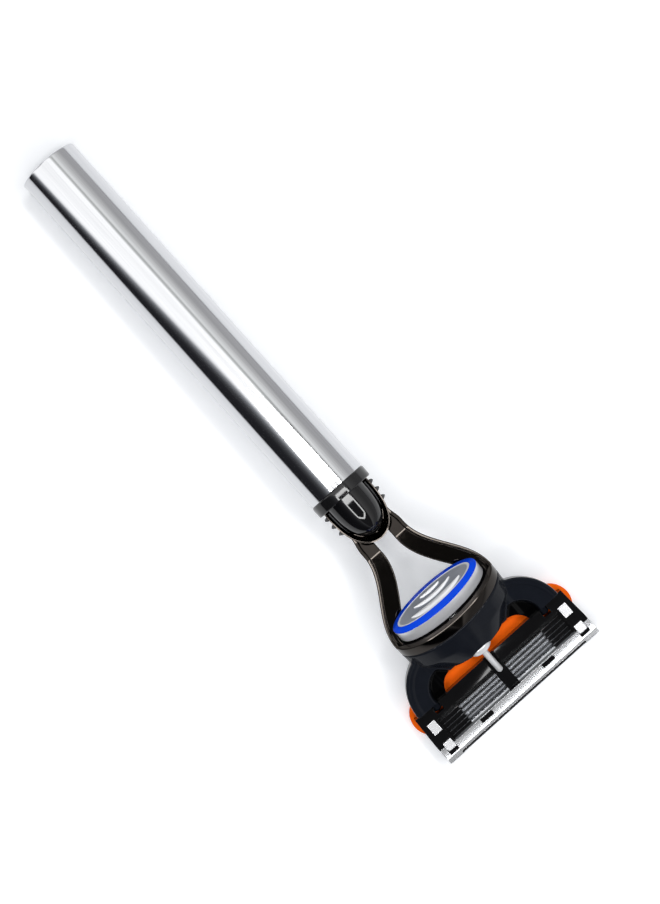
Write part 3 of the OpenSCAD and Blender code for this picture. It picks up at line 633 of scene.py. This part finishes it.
# %% Button shell and ring
BUTTON_A, BUTTON_B, BUTTON_WALL = 11.2, 4.3, 0.9
FACE_T, SHELL_T, ROOF_T, RIM_T = -6.4, -5.7, -4.7, -2.4
RING_W, RING_EDGE = 1.4, 0.15
SHELL_ROUNDS, RING_ROUNDS = [0.12, 0.5, 0.2, 0], [0.12, 0, 0, 0.15]


def round_oval(outline, a, b, sides=180):
    """A grid from an outline of (place, inset) carried round the oval with half-axes a and b."""
    angle = np.linspace(0, 2 * np.pi, sides + 1)
    t, inset = outline[:, 0, None], outline[:, 1, None]
    return np.stack([t + 0 * angle, (a - inset) * np.cos(angle), (b - inset) * np.sin(angle)], -1)


shell_corners = [(SHELL_T, 0), (RIM_T, 0), (RIM_T, BUTTON_WALL), (ROOF_T, BUTTON_WALL)]
shell_line = rounded(shell_corners, SHELL_ROUNDS)[:-1]
dress(skin("button_shell", [on_dock(capped(round_oval(shell_line, BUTTON_A, BUTTON_B)))]), "button_body")

ring_corners = [(SHELL_T - RING_EDGE, 0), (SHELL_T, 0), (SHELL_T, RING_W), (FACE_T, RING_W)]
ring_line = rounded(ring_corners, RING_ROUNDS)
dress(skin("button_band", [on_dock(round_oval(ring_line, BUTTON_A, BUTTON_B))]), "button_ring")

# %% [markdown]
# ## The release button's face
# The ring holds a grey face with three ridges for the thumb. The face is a polar grid, and the ridges are
# added to its height, so they are real forms and not only a bump in the finish. Each ridge is a bowed line
# that gets narrower to its ends. The mesh carries a mark of how high each point is, and the finish reads it
# to turn the crests white: partly their own lighter tone, partly a painted highlight where light catches
# them. A thin bead round the face's edge is whitened the same way, as a painted highlight.

# %% Button face
FACE_GAP, FACE_SINK = 0.03, 0.1
RIDGES = [(2.0, 1.0, 6.6, 0.95), (0.1, 0.85, 4.9, 0.62), (-1.6, 0.12, 2.6, 0.5)]
RIDGE_H, BEAD_W, FLATTEST = 0.30, 0.03, 1e-6
FACE_RINGS, FACE_SIDES, FACE_CRISP = 110, 360, 60
CREST_POWER, BEAD_PAINTED_HIGHLIGHT = 0.5, 0.6
face_a, face_b = BUTTON_A - RING_W - FACE_GAP, BUTTON_B - RING_W - FACE_GAP


def points_of(mesh):
    """A mesh's points as an array in millimetres."""
    flat = np.empty(3 * len(mesh.vertices))
    mesh.vertices.foreach_get("co", flat)
    return flat.reshape(-1, 3) / MM


def mark_points(piece, name, values):
    """Gives each point of a piece a number that its finish can read by that name."""
    piece.data.attributes.new(name, "FLOAT", "POINT").data.foreach_set("value", values)


def ridge_share(y, b):
    """How far up a ridge a point is, 0 to 1: one less its squared distance from the line in half-widths."""
    share = 0 * y
    for middle, bow, reach, half in RIDGES:
        width = half * np.sqrt(np.clip(1 - (y / reach) ** 2, FLATTEST, 1))
        away = (b - middle + bow * (y / reach) ** 2) / width
        share = np.maximum(share, np.where(abs(y) < reach, np.clip(1 - away**2, 0, 1), 0))
    return share


def bead_share(rho):
    """A narrow bead along the face's edge: a bell curve of the distance from it."""
    return np.exp(-(((1 - BEAD_W - rho) / BEAD_W) ** 2))


def face_grid():
    """A polar grid over the oval face, raised by ridges and bead, with a side wall and a flat back."""
    rho = np.linspace(0, 1, FACE_RINGS)[:, None]
    angle = np.linspace(0, 2 * np.pi, FACE_SIDES + 1)
    y, b = face_a * rho * np.cos(angle), face_b * rho * np.sin(angle)
    height = RIDGE_H * ridge_share(y, b) + FACE_SINK * bead_share(rho)
    top = np.stack([FACE_T + FACE_SINK - height, y, b], -1)
    wall = top[-1:] * [0, 1, 1] + [SHELL_T, 0, 0]
    back = np.broadcast_to(wall.mean(1, keepdims=True), wall.shape)
    return np.concatenate([top, wall, back])


face = skin("button_face", [on_dock(face_grid())], crisp=FACE_CRISP)
y, b = in_dock(points_of(face.data)).T[1:]
bead = bead_share(np.hypot(y / face_a, b / face_b))
# Painted highlight: the mark whitens the ridge crests, partly their own lighter tone, and the face's edge bead.
mark_points(face, CREST, np.maximum(ridge_share(y, b) ** CREST_POWER, BEAD_PAINTED_HIGHLIGHT * bead))
dress(face, "button_pad")

# %% [markdown]
# ## The plunger
# A silver rod presses on the head's middle bar and brings the head back. Its foot is a plate with a
# round crown, and its body slides in the dock. The foot and the body are outlines carried along the
# dock with eased ends, and the rod is turned.

# %% Plunger
PLUNGER_HALF, BODY_B, FOOT_TOP = 2.6, (0.2, 3.6), 5.5
BODY_T, FOOT_T, TIP_T = (4.4, 9.6), (9.4, 11.4), 18.754
BODY_ROUND, BODY_EASE, FOOT_EASE = 0.2, 0.1, 0.6
ROD_R, ROD_B, ROD_START, ROD_SIDES = 0.7, 4.5, FOOT_T[1] - 0.4, 48
END_POINTS, CROWN_POINTS, NOSE_POINTS = 7, 41, 13


def eased_bar(outline, t0, t1, edge):
    """An outline in y and b carried along t, drawn in by the edge at both ends on a quarter turn."""
    turn = np.linspace(0, np.pi / 2, END_POINTS)
    place = np.concatenate([t0 + edge * (1 - np.sin(turn)[::-1]), t1 - edge * (1 - np.sin(turn))])
    place = np.sort(place)
    draw = np.minimum(place - t0, t1 - place)
    inset = edge - np.sqrt(np.clip(edge**2 - (edge - np.minimum(draw, edge)) ** 2, 0, None))
    middle = (outline.max(0) + outline.min(0)) / 2
    half = (outline.max(0) - outline.min(0)) / 2
    ring = middle + (outline[None] - middle) * (1 - inset[:, None, None] / half)
    along = np.broadcast_to(place[:, None], ring.shape[:2])
    return capped(np.stack([along, ring[..., 0], ring[..., 1]], -1))


crown = np.linspace(0, np.pi, CROWN_POINTS)
crown_b = BODY_B[1] + (FOOT_TOP - BODY_B[1]) * np.sin(crown)
crown_line = np.stack([PLUNGER_HALF * np.cos(crown), crown_b], -1)
feet = [(-PLUNGER_HALF, BODY_B[0]), (PLUNGER_HALF, BODY_B[0])]
foot_outline = np.concatenate([feet, crown_line, feet[:1]])
body_outline = rounded([*feet, (PLUNGER_HALF, BODY_B[1]), (-PLUNGER_HALF, BODY_B[1])], BODY_ROUND)
nose = np.linspace(np.pi / 2, 0, NOSE_POINTS)
nose_line = np.stack([TIP_T + ROD_R * np.cos(nose), ROD_R * np.sin(nose)], -1)
rod_line = np.concatenate([[(ROD_START, 0), (ROD_START, ROD_R)], nose_line])
plunger_sheets = [
    on_dock(eased_bar(body_outline, *BODY_T, BODY_EASE)),
    on_dock(eased_bar(foot_outline, *FOOT_T, FOOT_EASE)),
    on_dock(turned(rod_line, ROD_SIDES) + np.array([0, 0, ROD_B])),
]
dress(skin("plunger_rod", plunger_sheets), "plunger")

# %% [markdown]
# ## The yoke's skin
# The yoke is one smooth moulding: a sleeve that runs into two wings with round shoulders. Blends like
# that are hard to write as one grid, so this piece starts from a merged copy of the solid. A voxel
# remesh gives it an even skin, and relaxing that skin rounds every edge as a mould would.

# %% Yoke's skin
VOXEL, RELAX, RELAX_SHARE = 0.17 * MM, 28, 0.5
MERGE_COPY, FLAT_ANGLE = MERGE * 5, 0.6


def merged_copy(node, name):
    """A mesh with a solid's own points: those that fall together merge, and flat faces are joined."""
    mesh = frame["nodes"][node].data.copy()
    mesh.name = name
    work = bmesh.new()
    work.from_mesh(mesh)
    bmesh.ops.remove_doubles(work, verts=work.verts, dist=MERGE_COPY)
    bmesh.ops.dissolve_limit(
        work,
        angle_limit=math.radians(FLAT_ANGLE),
        verts=work.verts,
        edges=work.edges,
        use_dissolve_boundaries=False,
    )
    work.to_mesh(mesh)
    work.free()
    return mesh


def relaxed_copy(node, name, voxel, rounds):
    """A voxel remesh of a solid whose points are then drawn towards their neighbours a number of times."""
    rough = bpy.data.objects.new(name + "_rough", merged_copy(node, name + "_rough"))
    bpy.context.scene.collection.objects.link(rough)
    remesh = rough.modifiers.new("even_skin", "REMESH")
    remesh.mode = "VOXEL"
    remesh.voxel_size = voxel
    relax = rough.modifiers.new("relax", "SMOOTH")
    relax.factor = RELAX_SHARE
    relax.iterations = rounds
    bpy.context.view_layer.update()
    mesh = bpy.data.meshes.new_from_object(rough.evaluated_get(bpy.context.evaluated_depsgraph_get()))
    bpy.data.objects.remove(rough)
    return mesh


yoke_mesh = relaxed_copy("yoke", "yoke_moulding", VOXEL, RELAX)
print("relaxed skin of", len(yoke_mesh.vertices), "points")

# %% [markdown]
# ## The yoke's slot, groove and hollow
# Relaxing also closes the corners of the slot that the plunger's foot runs in, so points in its way are
# pushed out again. On each wing a thin lip and a groove follow the round shoulder, and a round hollow lies
# beside the sleeve. All of these are heights over the wing, so the skin's points there are lowered to a
# floor that is a function of x and y, and then smoothed a little. The hollow is in deep shade on the real
# one, and a mark on the mesh lets the finish paint that shade in, as near-black painted shade.

# %% Yoke's slot, groove and hollow
SLOT_BACK, SLOT_HALF, SLOT_LOW, SLOT_TOP = 6.85, 2.72, 0.1, 5.6
WING_TOP, WING_SLOPE = 4.85, 0.4427
WING_ABOVE, WING_FRONT, WING_SIDE = 0.3, 0.05, 7.2
SHOULDER_X, SHOULDER_Y, SHOULDER_A, SHOULDER_B = -1.0, 9.5, 11.2, 10.3
GROOVE_AT, GROOVE_W, GROOVE_DEPTH = 0.9, 0.22, 0.24
LEDGE_AT, LEDGE_W, LEDGE_RISE, LIP_DROP = 1.35, 0.30, 0.26, 0.32
LIP_FROM, LIP_EASE = 10.5, 1.5
HOLLOW_X, HOLLOW_Y, HOLLOW_R, HOLLOW_DEPTH, HOLLOW_EASE = -1.6, 9.5, 5.4, 1.9, 0.6
SLEEVE_X, SLEEVE_Y, SLEEVE_NX, SLEEVE_NY = -7.5, 10.4, 0.687, 0.727
SLEEVE_ROOM, SLEEVE_EASE = 0.1, 0.5
SETTLE, SETTLE_SHARE = 4, 0.5
ALL_SMOOTH = 180


def move_points(mesh, points):
    """Puts points in millimetres back into a mesh."""
    mesh.vertices.foreach_set("co", (points * MM).ravel())


def cleared(points):
    """Points in the plunger's way go out of its slot by the shortest way: back, sideways, down or up."""
    t, y, b = in_dock(points).T
    ways = np.stack([t - SLOT_BACK, SLOT_HALF - abs(y), b - SLOT_LOW, SLOT_TOP - b])
    shortest = np.where((ways > 0).all(0), ways.argmin(0), -1)
    t = np.where(shortest == 0, SLOT_BACK, t)
    y = np.where(shortest == 1, np.sign(y) * SLOT_HALF, y)
    b = np.where(shortest == 2, SLOT_LOW, np.where(shortest == 3, SLOT_TOP, b))
    return on_dock(np.stack([t, y, b], -1))


def hollow_share(x, y):
    """How deep a point of a wing lies in the round hollow, 0 to 1, with the sleeve's flank cut off."""
    off_sleeve = (x - SLEEVE_X) * SLEEVE_NX + (y - SLEEVE_Y) * SLEEVE_NY - SLEEVE_ROOM
    within = HOLLOW_R - np.hypot(x - HOLLOW_X, y - HOLLOW_Y)
    return ease(within / HOLLOW_EASE) * ease(off_sleeve / SLEEVE_EASE)


def wing_floor(x, y):
    """Height of a wing's upper face: a slope, less bell curves of the distance from its round edge."""
    across = np.hypot((x - SHOULDER_X) / SHOULDER_A, (y - SHOULDER_Y) / SHOULDER_B)
    inward = (1 - across) * (SHOULDER_A + SHOULDER_B) / 2
    groove = GROOVE_DEPTH * np.exp(-(((inward - GROOVE_AT) / GROOVE_W) ** 2))
    ledge = LEDGE_RISE * np.exp(-(((inward - LEDGE_AT) / LEDGE_W) ** 2))
    drop = LIP_DROP * ease((inward - GROOVE_AT) / (LEDGE_AT - GROOVE_AT)) + groove - ledge
    slope = WING_TOP - WING_SLOPE * (x - SHOULDER_X)
    return slope - drop * ease((y - LIP_FROM) / LIP_EASE) - HOLLOW_DEPTH * hollow_share(x, y)


def press_wings(mesh):
    """Clears the slot, lowers each wing's upper points to the floor, and smooths the points that moved."""
    x, y, z = (cleared(points_of(mesh)) - pivot).T
    slope = WING_TOP - WING_SLOPE * (x - SHOULDER_X)
    on_wing = (z < slope + WING_ABOVE) & (x < SHOULDER_X - WING_FRONT) & (abs(y) > WING_SIDE)
    floor = wing_floor(x, abs(y))
    sunk = on_wing & (z > floor)
    move_points(mesh, np.stack([x, y, np.where(sunk, floor, z)], -1) + pivot)
    work = bmesh.new()
    work.from_mesh(mesh)
    moved = [point for point, lowered in zip(work.verts, sunk) if lowered]
    for _ in range(SETTLE):
        bmesh.ops.smooth_vert(
            work, verts=moved, factor=SETTLE_SHARE, use_axis_x=True, use_axis_y=True, use_axis_z=True
        )
    work.to_mesh(mesh)
    work.free()
    return mesh


yoke = settle("yoke_moulding", press_wings(yoke_mesh), ALL_SMOOTH)
x, y, z = (points_of(yoke.data) - pivot).T
# Painted shade: this mark lets the finish darken the hollow to near black, for the shade that falls in it.
mark_points(yoke, HOLLOW, np.where(x < SHOULDER_X, hollow_share(x, abs(y)), 0))
dress(yoke, "yoke")

# %% [markdown]
# ## The blade unit
# Housing, guard, clips, strip and fingers are plain forms that the solids already have, so a merged
# copy of each gets what the mould or the press gave the real one: a small round on every edge, from
# a Bevel modifier that takes only the sharp edges.

# %% Blade unit with rounded edges
EASED = [
    ("blade_housing", "housing_frame", 0.06, 3),
    ("comfort_guard", "guard_rubber", 0.10, 3),
    ("lubricating_strip", "glide_strip", 0.15, 3),
    ("spring_fingers", "finger_combs", 0.05, 2),
    ("clip_left", "clip_band_left", 0.08, 3),
    ("clip_right", "clip_band_right", 0.08, 3),
]


def with_round_edges(piece, node, width, segments):
    """Rounds a piece's sharp edges by that width and dresses it as the node."""
    bevel = piece.modifiers.new("edge_round", "BEVEL")
    bevel.width = width * MM
    bevel.segments = segments
    bevel.limit_method = "ANGLE"
    bevel.angle_limit = math.radians(CRISP)
    bevel.harden_normals = True
    return dress(piece, node)


for node, name, width, segments in EASED:
    with_round_edges(settle(name, merged_copy(node, name), CRISP), node, width, segments)

# %% [markdown]
# ## Trimmer strip and trimmer edge
# The bright strip is not quite flat: it bows down towards its front, and ends in a narrow flat. That
# bow is why it shines brighter there. So a copy of the flat solid is cut into narrow bands, and each
# band's upper points go down by the bow. The trimmer edge in front of it is ground at a slope, so it is
# a wedge carried across the head.

# %% Bowed strip and ground edge
BOW_X, BOW_END, BOW = 7.9, 9.9, 0.08
SLOT_FRONT, SLOT_SIDE, SLOT_ROOM, AT_SLOT = 9.1, 17.0, 0.5, 0.02
BANDS = np.array([0.25, 0.5, 0.75, 1.0, 1.25, 1.5, 1.7, 1.85, 1.95, 2.0, 2.05])
PLATE_ROUND, PLATE_SEGMENTS = 0.03, 2


def bowed_plate():
    """The strip's solid with wider slots, cut across x, its upper points lowered by bow times u squared."""
    mesh = merged_copy("trimmer_carrier", "trimmer_plate")
    x, y, z = (points_of(mesh) - pivot).T
    at_slot = (abs(x - SLOT_FRONT) < AT_SLOT) & (abs(y) > SLOT_SIDE)
    move_points(mesh, np.stack([x + SLOT_ROOM * at_slot, y, z], -1) + pivot)
    work = bmesh.new()
    work.from_mesh(mesh)
    for band in BANDS:
        everything = [*work.verts, *work.edges, *work.faces]
        cut_at = (pivot + [BOW_X + band, 0, 0]) * MM
        bmesh.ops.bisect_plane(work, geom=everything, plane_co=cut_at, plane_no=(1, 0, 0), dist=MERGE)
    work.to_mesh(mesh)
    work.free()
    points = points_of(mesh)
    u = np.clip((points[:, 0] - pivot[0] - BOW_X) / (BOW_END - BOW_X), 0, 1)
    upper = points[:, 2] > (points[:, 2].min() + points[:, 2].max()) / 2
    points[:, 2] -= np.where(upper, BOW * u**2, 0)
    move_points(mesh, points)
    return mesh


plate = settle("trimmer_plate", bowed_plate(), CRISP)
with_round_edges(plate, "trimmer_carrier", PLATE_ROUND, PLATE_SEGMENTS)

EDGE_X, EDGE_Z, EDGE_HALF = (9.5, 10.72, 11.12), (4.52, 4.68), 17.9
EDGE_ROUNDS = [0, 0, 0.05, 0.02]
edge_corners = [
    (EDGE_X[0], EDGE_Z[0]),
    (EDGE_X[0], EDGE_Z[1]),
    (EDGE_X[1], EDGE_Z[1]),
    (EDGE_X[2], EDGE_Z[0]),
]
edge_x, edge_z = rounded(edge_corners, EDGE_ROUNDS).T
edge_y = np.array([-EDGE_HALF, EDGE_HALF])[:, None]
edge_grid = np.stack(np.broadcast_arrays(edge_x, edge_y, edge_z), -1)
under_unit = np.array([pivot[0], 0, 0])
dress(skin("trimmer_edge", [capped(edge_grid) + under_unit]), "trimmer_blade")

# %% [markdown]
# ## The return spring
# One coil of steel wire lies between the button and the plunger. It could be a curve with a bevel, but
# a ring of points carried along a helix is the same sum with no conversion. A pressed button makes the
# coil shorter, towards the plunger, so the share of its length that it keeps at the button's full travel is worked
# out, and the point at its plunger end.

# %% Return spring
WIRE_R, COIL_R, COIL_TURNS, COIL_B = 0.15, 1.05, 6, 1.9
COIL_T, COIL_STEPS, WIRE_SIDES = (-3.6, 4.1), 36, 16


def coil_grid():
    """Rings of wire along a helix: t grows with the turns s, and rings lie in the axis and radius plane."""
    s = np.linspace(0, COIL_TURNS, COIL_TURNS * COIL_STEPS + 1)[:, None]
    ring = np.linspace(0, 2 * np.pi, WIRE_SIDES + 1)
    t = COIL_T[0] + (COIL_T[1] - COIL_T[0]) * s / COIL_TURNS - WIRE_R * np.sin(ring)
    r = COIL_R + WIRE_R * np.cos(ring)
    return capped(np.stack([t, r * np.cos(2 * np.pi * s), COIL_B + r * np.sin(2 * np.pi * s)], -1))


coil = dress(skin("return_coil", [on_dock(coil_grid())]), "return_spring")
coil_end = COIL_T[1] + WIRE_R
press = joints["button_push"]["range_m"][1] / MM
kept_share = 1 - press / (coil_end - COIL_T[0] + WIRE_R)
coil_anchor = (on_dock([coil_end, 0, COIL_B]) * MM).tolist()
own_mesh(coil)
print("the pressed coil keeps", round(kept_share, 3), "of its length")

# %% [markdown]
# ## What stays as it is
# Blades, their supports and the parts hidden inside keep their solids, which are already right. They
# only need their finishes.

# %% Finishes for the solids that stay
kept = [name for name, node in frame["nodes"].items() if not node.hide_render]
for name in kept:
    frame["nodes"][name].data.materials.clear()
    frame["nodes"][name].data.materials.append(finishes[slot_of[name]])
print("kept as solids:", sorted(kept))

# %% [markdown]
# ## The table
# The razor lies on plain white card. A diffuse sheet takes its soft shadow, but in plain light it would
# come out pale grey. So the card has a little light of its own, for the camera's rays and at half strength
# for mirrored ones. No other ray sees it, so it doesn't light the razor, and the shadow stays.

# %% Table
TABLE_HALF, LIFT, MIRRORED = 1500.0, 0.29, 0.5
CARD_WHITE, LIFT_WHITE = (0.82, 0.825, 0.835, 1), (0.94, 0.98, 1.04, 1)
corner = np.array([-TABLE_HALF, TABLE_HALF])
table_grid = np.stack([*np.meshgrid(corner, corner, indexing="ij"), np.zeros((2, 2))], -1)
table = skin("table_top", [table_grid])
table_paint = bpy.data.materials.new("table_white")
table_paint.use_nodes = True
paint = Sheet(table_paint.node_tree)
camera_ray, glossy_ray = paint.node("ShaderNodeLightPath", {}, {}, ("Is Camera Ray", "Is Glossy Ray"))
card = paint.node("ShaderNodeBsdfDiffuse", {}, {"Color": CARD_WHITE})
lifted = (camera_ray + glossy_ray * MIRRORED) * LIFT
lift = paint.node("ShaderNodeEmission", {}, {"Color": LIFT_WHITE, "Strength": lifted})
both = paint.node("ShaderNodeAddShader", {}, {0: card, 1: lift})
paint.node("ShaderNodeOutputMaterial", {}, {"Surface": both})
table.data.materials.append(table_paint)
print("table", 2 * TABLE_HALF * MM, "m wide")

# %% [markdown]
# ## The room that the metal shows
# Shiny things show the room round them. On the tube it is a row of bands: dark on one side, bright
# overhead with a thin dark line, and grey on the other side. A picture of a room would do it too, but a
# ramp over the direction's lean can be set band by band. Towards the head the room overhead is dark, and
# towards the tube's far end the dark band gets narrower, so the ramp is shifted there.

# %% World bands
TINY, FILL = 1e-6, 0.3
DARK_FROM, DARK_EASE, DARK_SHARE = -0.068, 0.02, 0.93
OVERHEAD, OVERHEAD_EASE = 0.50, 0.07
WIDEN, WIDE_FROM, LEFT_EASE, RIM_EASE = 1.35, 0.08, 0.3, 0.03
BANDS_OF_ROOM = [
    (0.000, (0.017, 0.017, 0.020)),
    (0.060, (0.020, 0.020, 0.024)),
    (0.105, (0.040, 0.041, 0.045)),
    (0.155, (0.090, 0.092, 0.100)),
    (0.215, (0.23, 0.24, 0.26)),
    (0.245, (0.50, 0.51, 0.53)),
    (0.285, (1.25, 1.25, 1.26)),
    (0.340, (1.50, 1.50, 1.50)),
    (0.430, (1.44, 1.44, 1.44)),
    (0.510, (1.34, 1.34, 1.34)),
    (0.580, (1.45, 1.45, 1.45)),
    (0.660, (1.50, 1.50, 1.50)),
    (0.692, (0.80, 0.81, 0.80)),
    (0.735, (0.50, 0.51, 0.50)),
    (0.772, (1.06, 1.07, 1.06)),
    (0.815, (0.92, 0.93, 0.93)),
    (0.860, (0.76, 0.76, 0.76)),
    (0.910, (0.62, 0.62, 0.62)),
    (0.955, (0.46, 0.46, 0.47)),
    (1.000, (0.50, 0.50, 0.51)),
]
world = bpy.data.worlds.new("white_box")
bpy.context.scene.world = world
world.use_nodes = True
sky = Sheet(world.node_tree)
look = sky.node("ShaderNodeTexCoord", {}, {}, "Generated")
ahead, side, up = sky.node("ShaderNodeSeparateXYZ", {}, {"Vector": look}, ("X", "Y", "Z"))
lean = side / ((side * side + up * up + TINY) ** 0.5)
pitch = ahead / ((ahead * ahead + up * up + TINY) ** 0.5)
place = lean * 0.5 + 0.5
behind = (-ahead - WIDE_FROM).clamped()
left = ((0.5 - place) / LEFT_EASE).clamped() * place / (place + RIM_EASE)
shifted = place + behind * left * WIDEN
bands = sky.node("ShaderNodeValToRGB", {"stops": BANDS_OF_ROOM}, {"Fac": shifted})
headward = ((pitch - DARK_FROM) / DARK_EASE).clamped()
overhead = ((OVERHEAD - abs(lean)) / OVERHEAD_EASE).clamped()
shade = 1 - headward * overhead * DARK_SHARE
seen, glossy = sky.node("ShaderNodeLightPath", {}, {}, ("Is Camera Ray", "Is Glossy Ray"))
strength = (glossy * (1 - FILL) + FILL) * shade
box = sky.node("ShaderNodeBackground", {}, {"Color": bands, "Strength": strength})
plain = sky.node("ShaderNodeBackground", {}, {"Color": (1, 1, 1, 1), "Strength": 1.0})
shown = sky.node("ShaderNodeMixShader", {}, {0: seen, 1: box, 2: plain})
sky.node("ShaderNodeOutputWorld", {}, {"Surface": shown})
print("world with", len(sky.tree.nodes), "nodes and", len(BANDS_OF_ROOM), "stops")

# %% [markdown]
# ## Lamps
# A frame of five strip lamps hangs overhead, and the bright outline on the dome is its mirror image. One
# more lamp, which nothing shiny shows, evens out the light on the table. A lamp's energy is worked out
# from its area, so a strip is equally bright whatever its size.

# %% Strip lamps
LAMP_Z, RADIANCE = 400.0, 13.0
FRAME_CORNERS = np.array([(-4, -175), (-4, 140), (180, 140), (262, -18), (180, -175)])
STRIP_W = [30.0, 46.0, 46.0, 46.0, 46.0]
FILL_AT, FILL_SIZE, FILL_RADIANCE = (-150, 130, 300), (120, 120), 7.0


def hang(name, place, size, radiance, turn=0.0):
    """A flat lamp at a place in millimetres that faces down and gives that radiance."""
    lamp = bpy.data.lights.new(name, "AREA")
    lamp.shape = "RECTANGLE"
    lamp.size, lamp.size_y = size[0] * MM, size[1] * MM
    lamp.energy = radiance * math.pi * lamp.size * lamp.size_y
    hung = bpy.data.objects.new(name, lamp)
    hung.location = np.array(place) * MM
    hung.rotation_euler.z = turn
    hung.visible_camera = False
    bpy.context.scene.collection.objects.link(hung)
    return hung


for number, (start, end) in enumerate(zip(FRAME_CORNERS, np.roll(FRAME_CORNERS, -1, 0))):
    along = end - start
    strip_size = (np.hypot(*along), STRIP_W[number])
    strip_turn = math.atan2(along[1], along[0])
    hang(f"strip_{number}", [*(start + end) / 2, LAMP_Z], strip_size, RADIANCE, strip_turn)

hang("fill", FILL_AT, FILL_SIZE, FILL_RADIANCE).visible_glossy = False
print(len(FRAME_CORNERS), "strips,", RADIANCE, "W a square metre and steradian, and one fill lamp")

# %% [markdown]
# ## The camera
# The camera looks almost straight down from half a metre, so the razor is seen from above with hardly any
# perspective. Place, aim and focal length were fitted until the outlines lay on those of the picture. Three
# directions at right angles to each other make its matrix.

# %% Camera
PHOTO_H, FOCAL_PX = 904, 2401.0
SENSOR_H, CLIP_FROM, CLIP_TO = 24.0, 0.01, 20.0
CAMERA_AT = np.array([-11.367, -1.995, 511.909])
AIM_AT = np.array([8.718, 3.839, 8.0])
UP_IN_PHOTO = np.array([-0.7442, 0.66757, -0.02193])

forward = (AIM_AT - CAMERA_AT) / np.linalg.norm(AIM_AT - CAMERA_AT)
right = np.cross(forward, UP_IN_PHOTO)
right /= np.linalg.norm(right)
upward = np.cross(right, forward)
lens = bpy.data.cameras.new("photo_camera")
lens.sensor_fit = "VERTICAL"
lens.sensor_height = SENSOR_H
lens.lens = FOCAL_PX / PHOTO_H * lens.sensor_height
lens.clip_start, lens.clip_end = CLIP_FROM, CLIP_TO
camera = bpy.data.objects.new("photo_camera", lens)
pose = np.eye(4)
pose[:3] = np.stack([right, upward, -forward, CAMERA_AT * MM], -1)
camera.matrix_world = Matrix(pose.tolist())
bpy.context.scene.collection.objects.link(camera)
bpy.context.scene.camera = camera
bpy.context.scene.view_settings.view_transform = "Standard"
print("camera", round(lens.lens, 1), "mm lens at", CAMERA_AT, "mm")
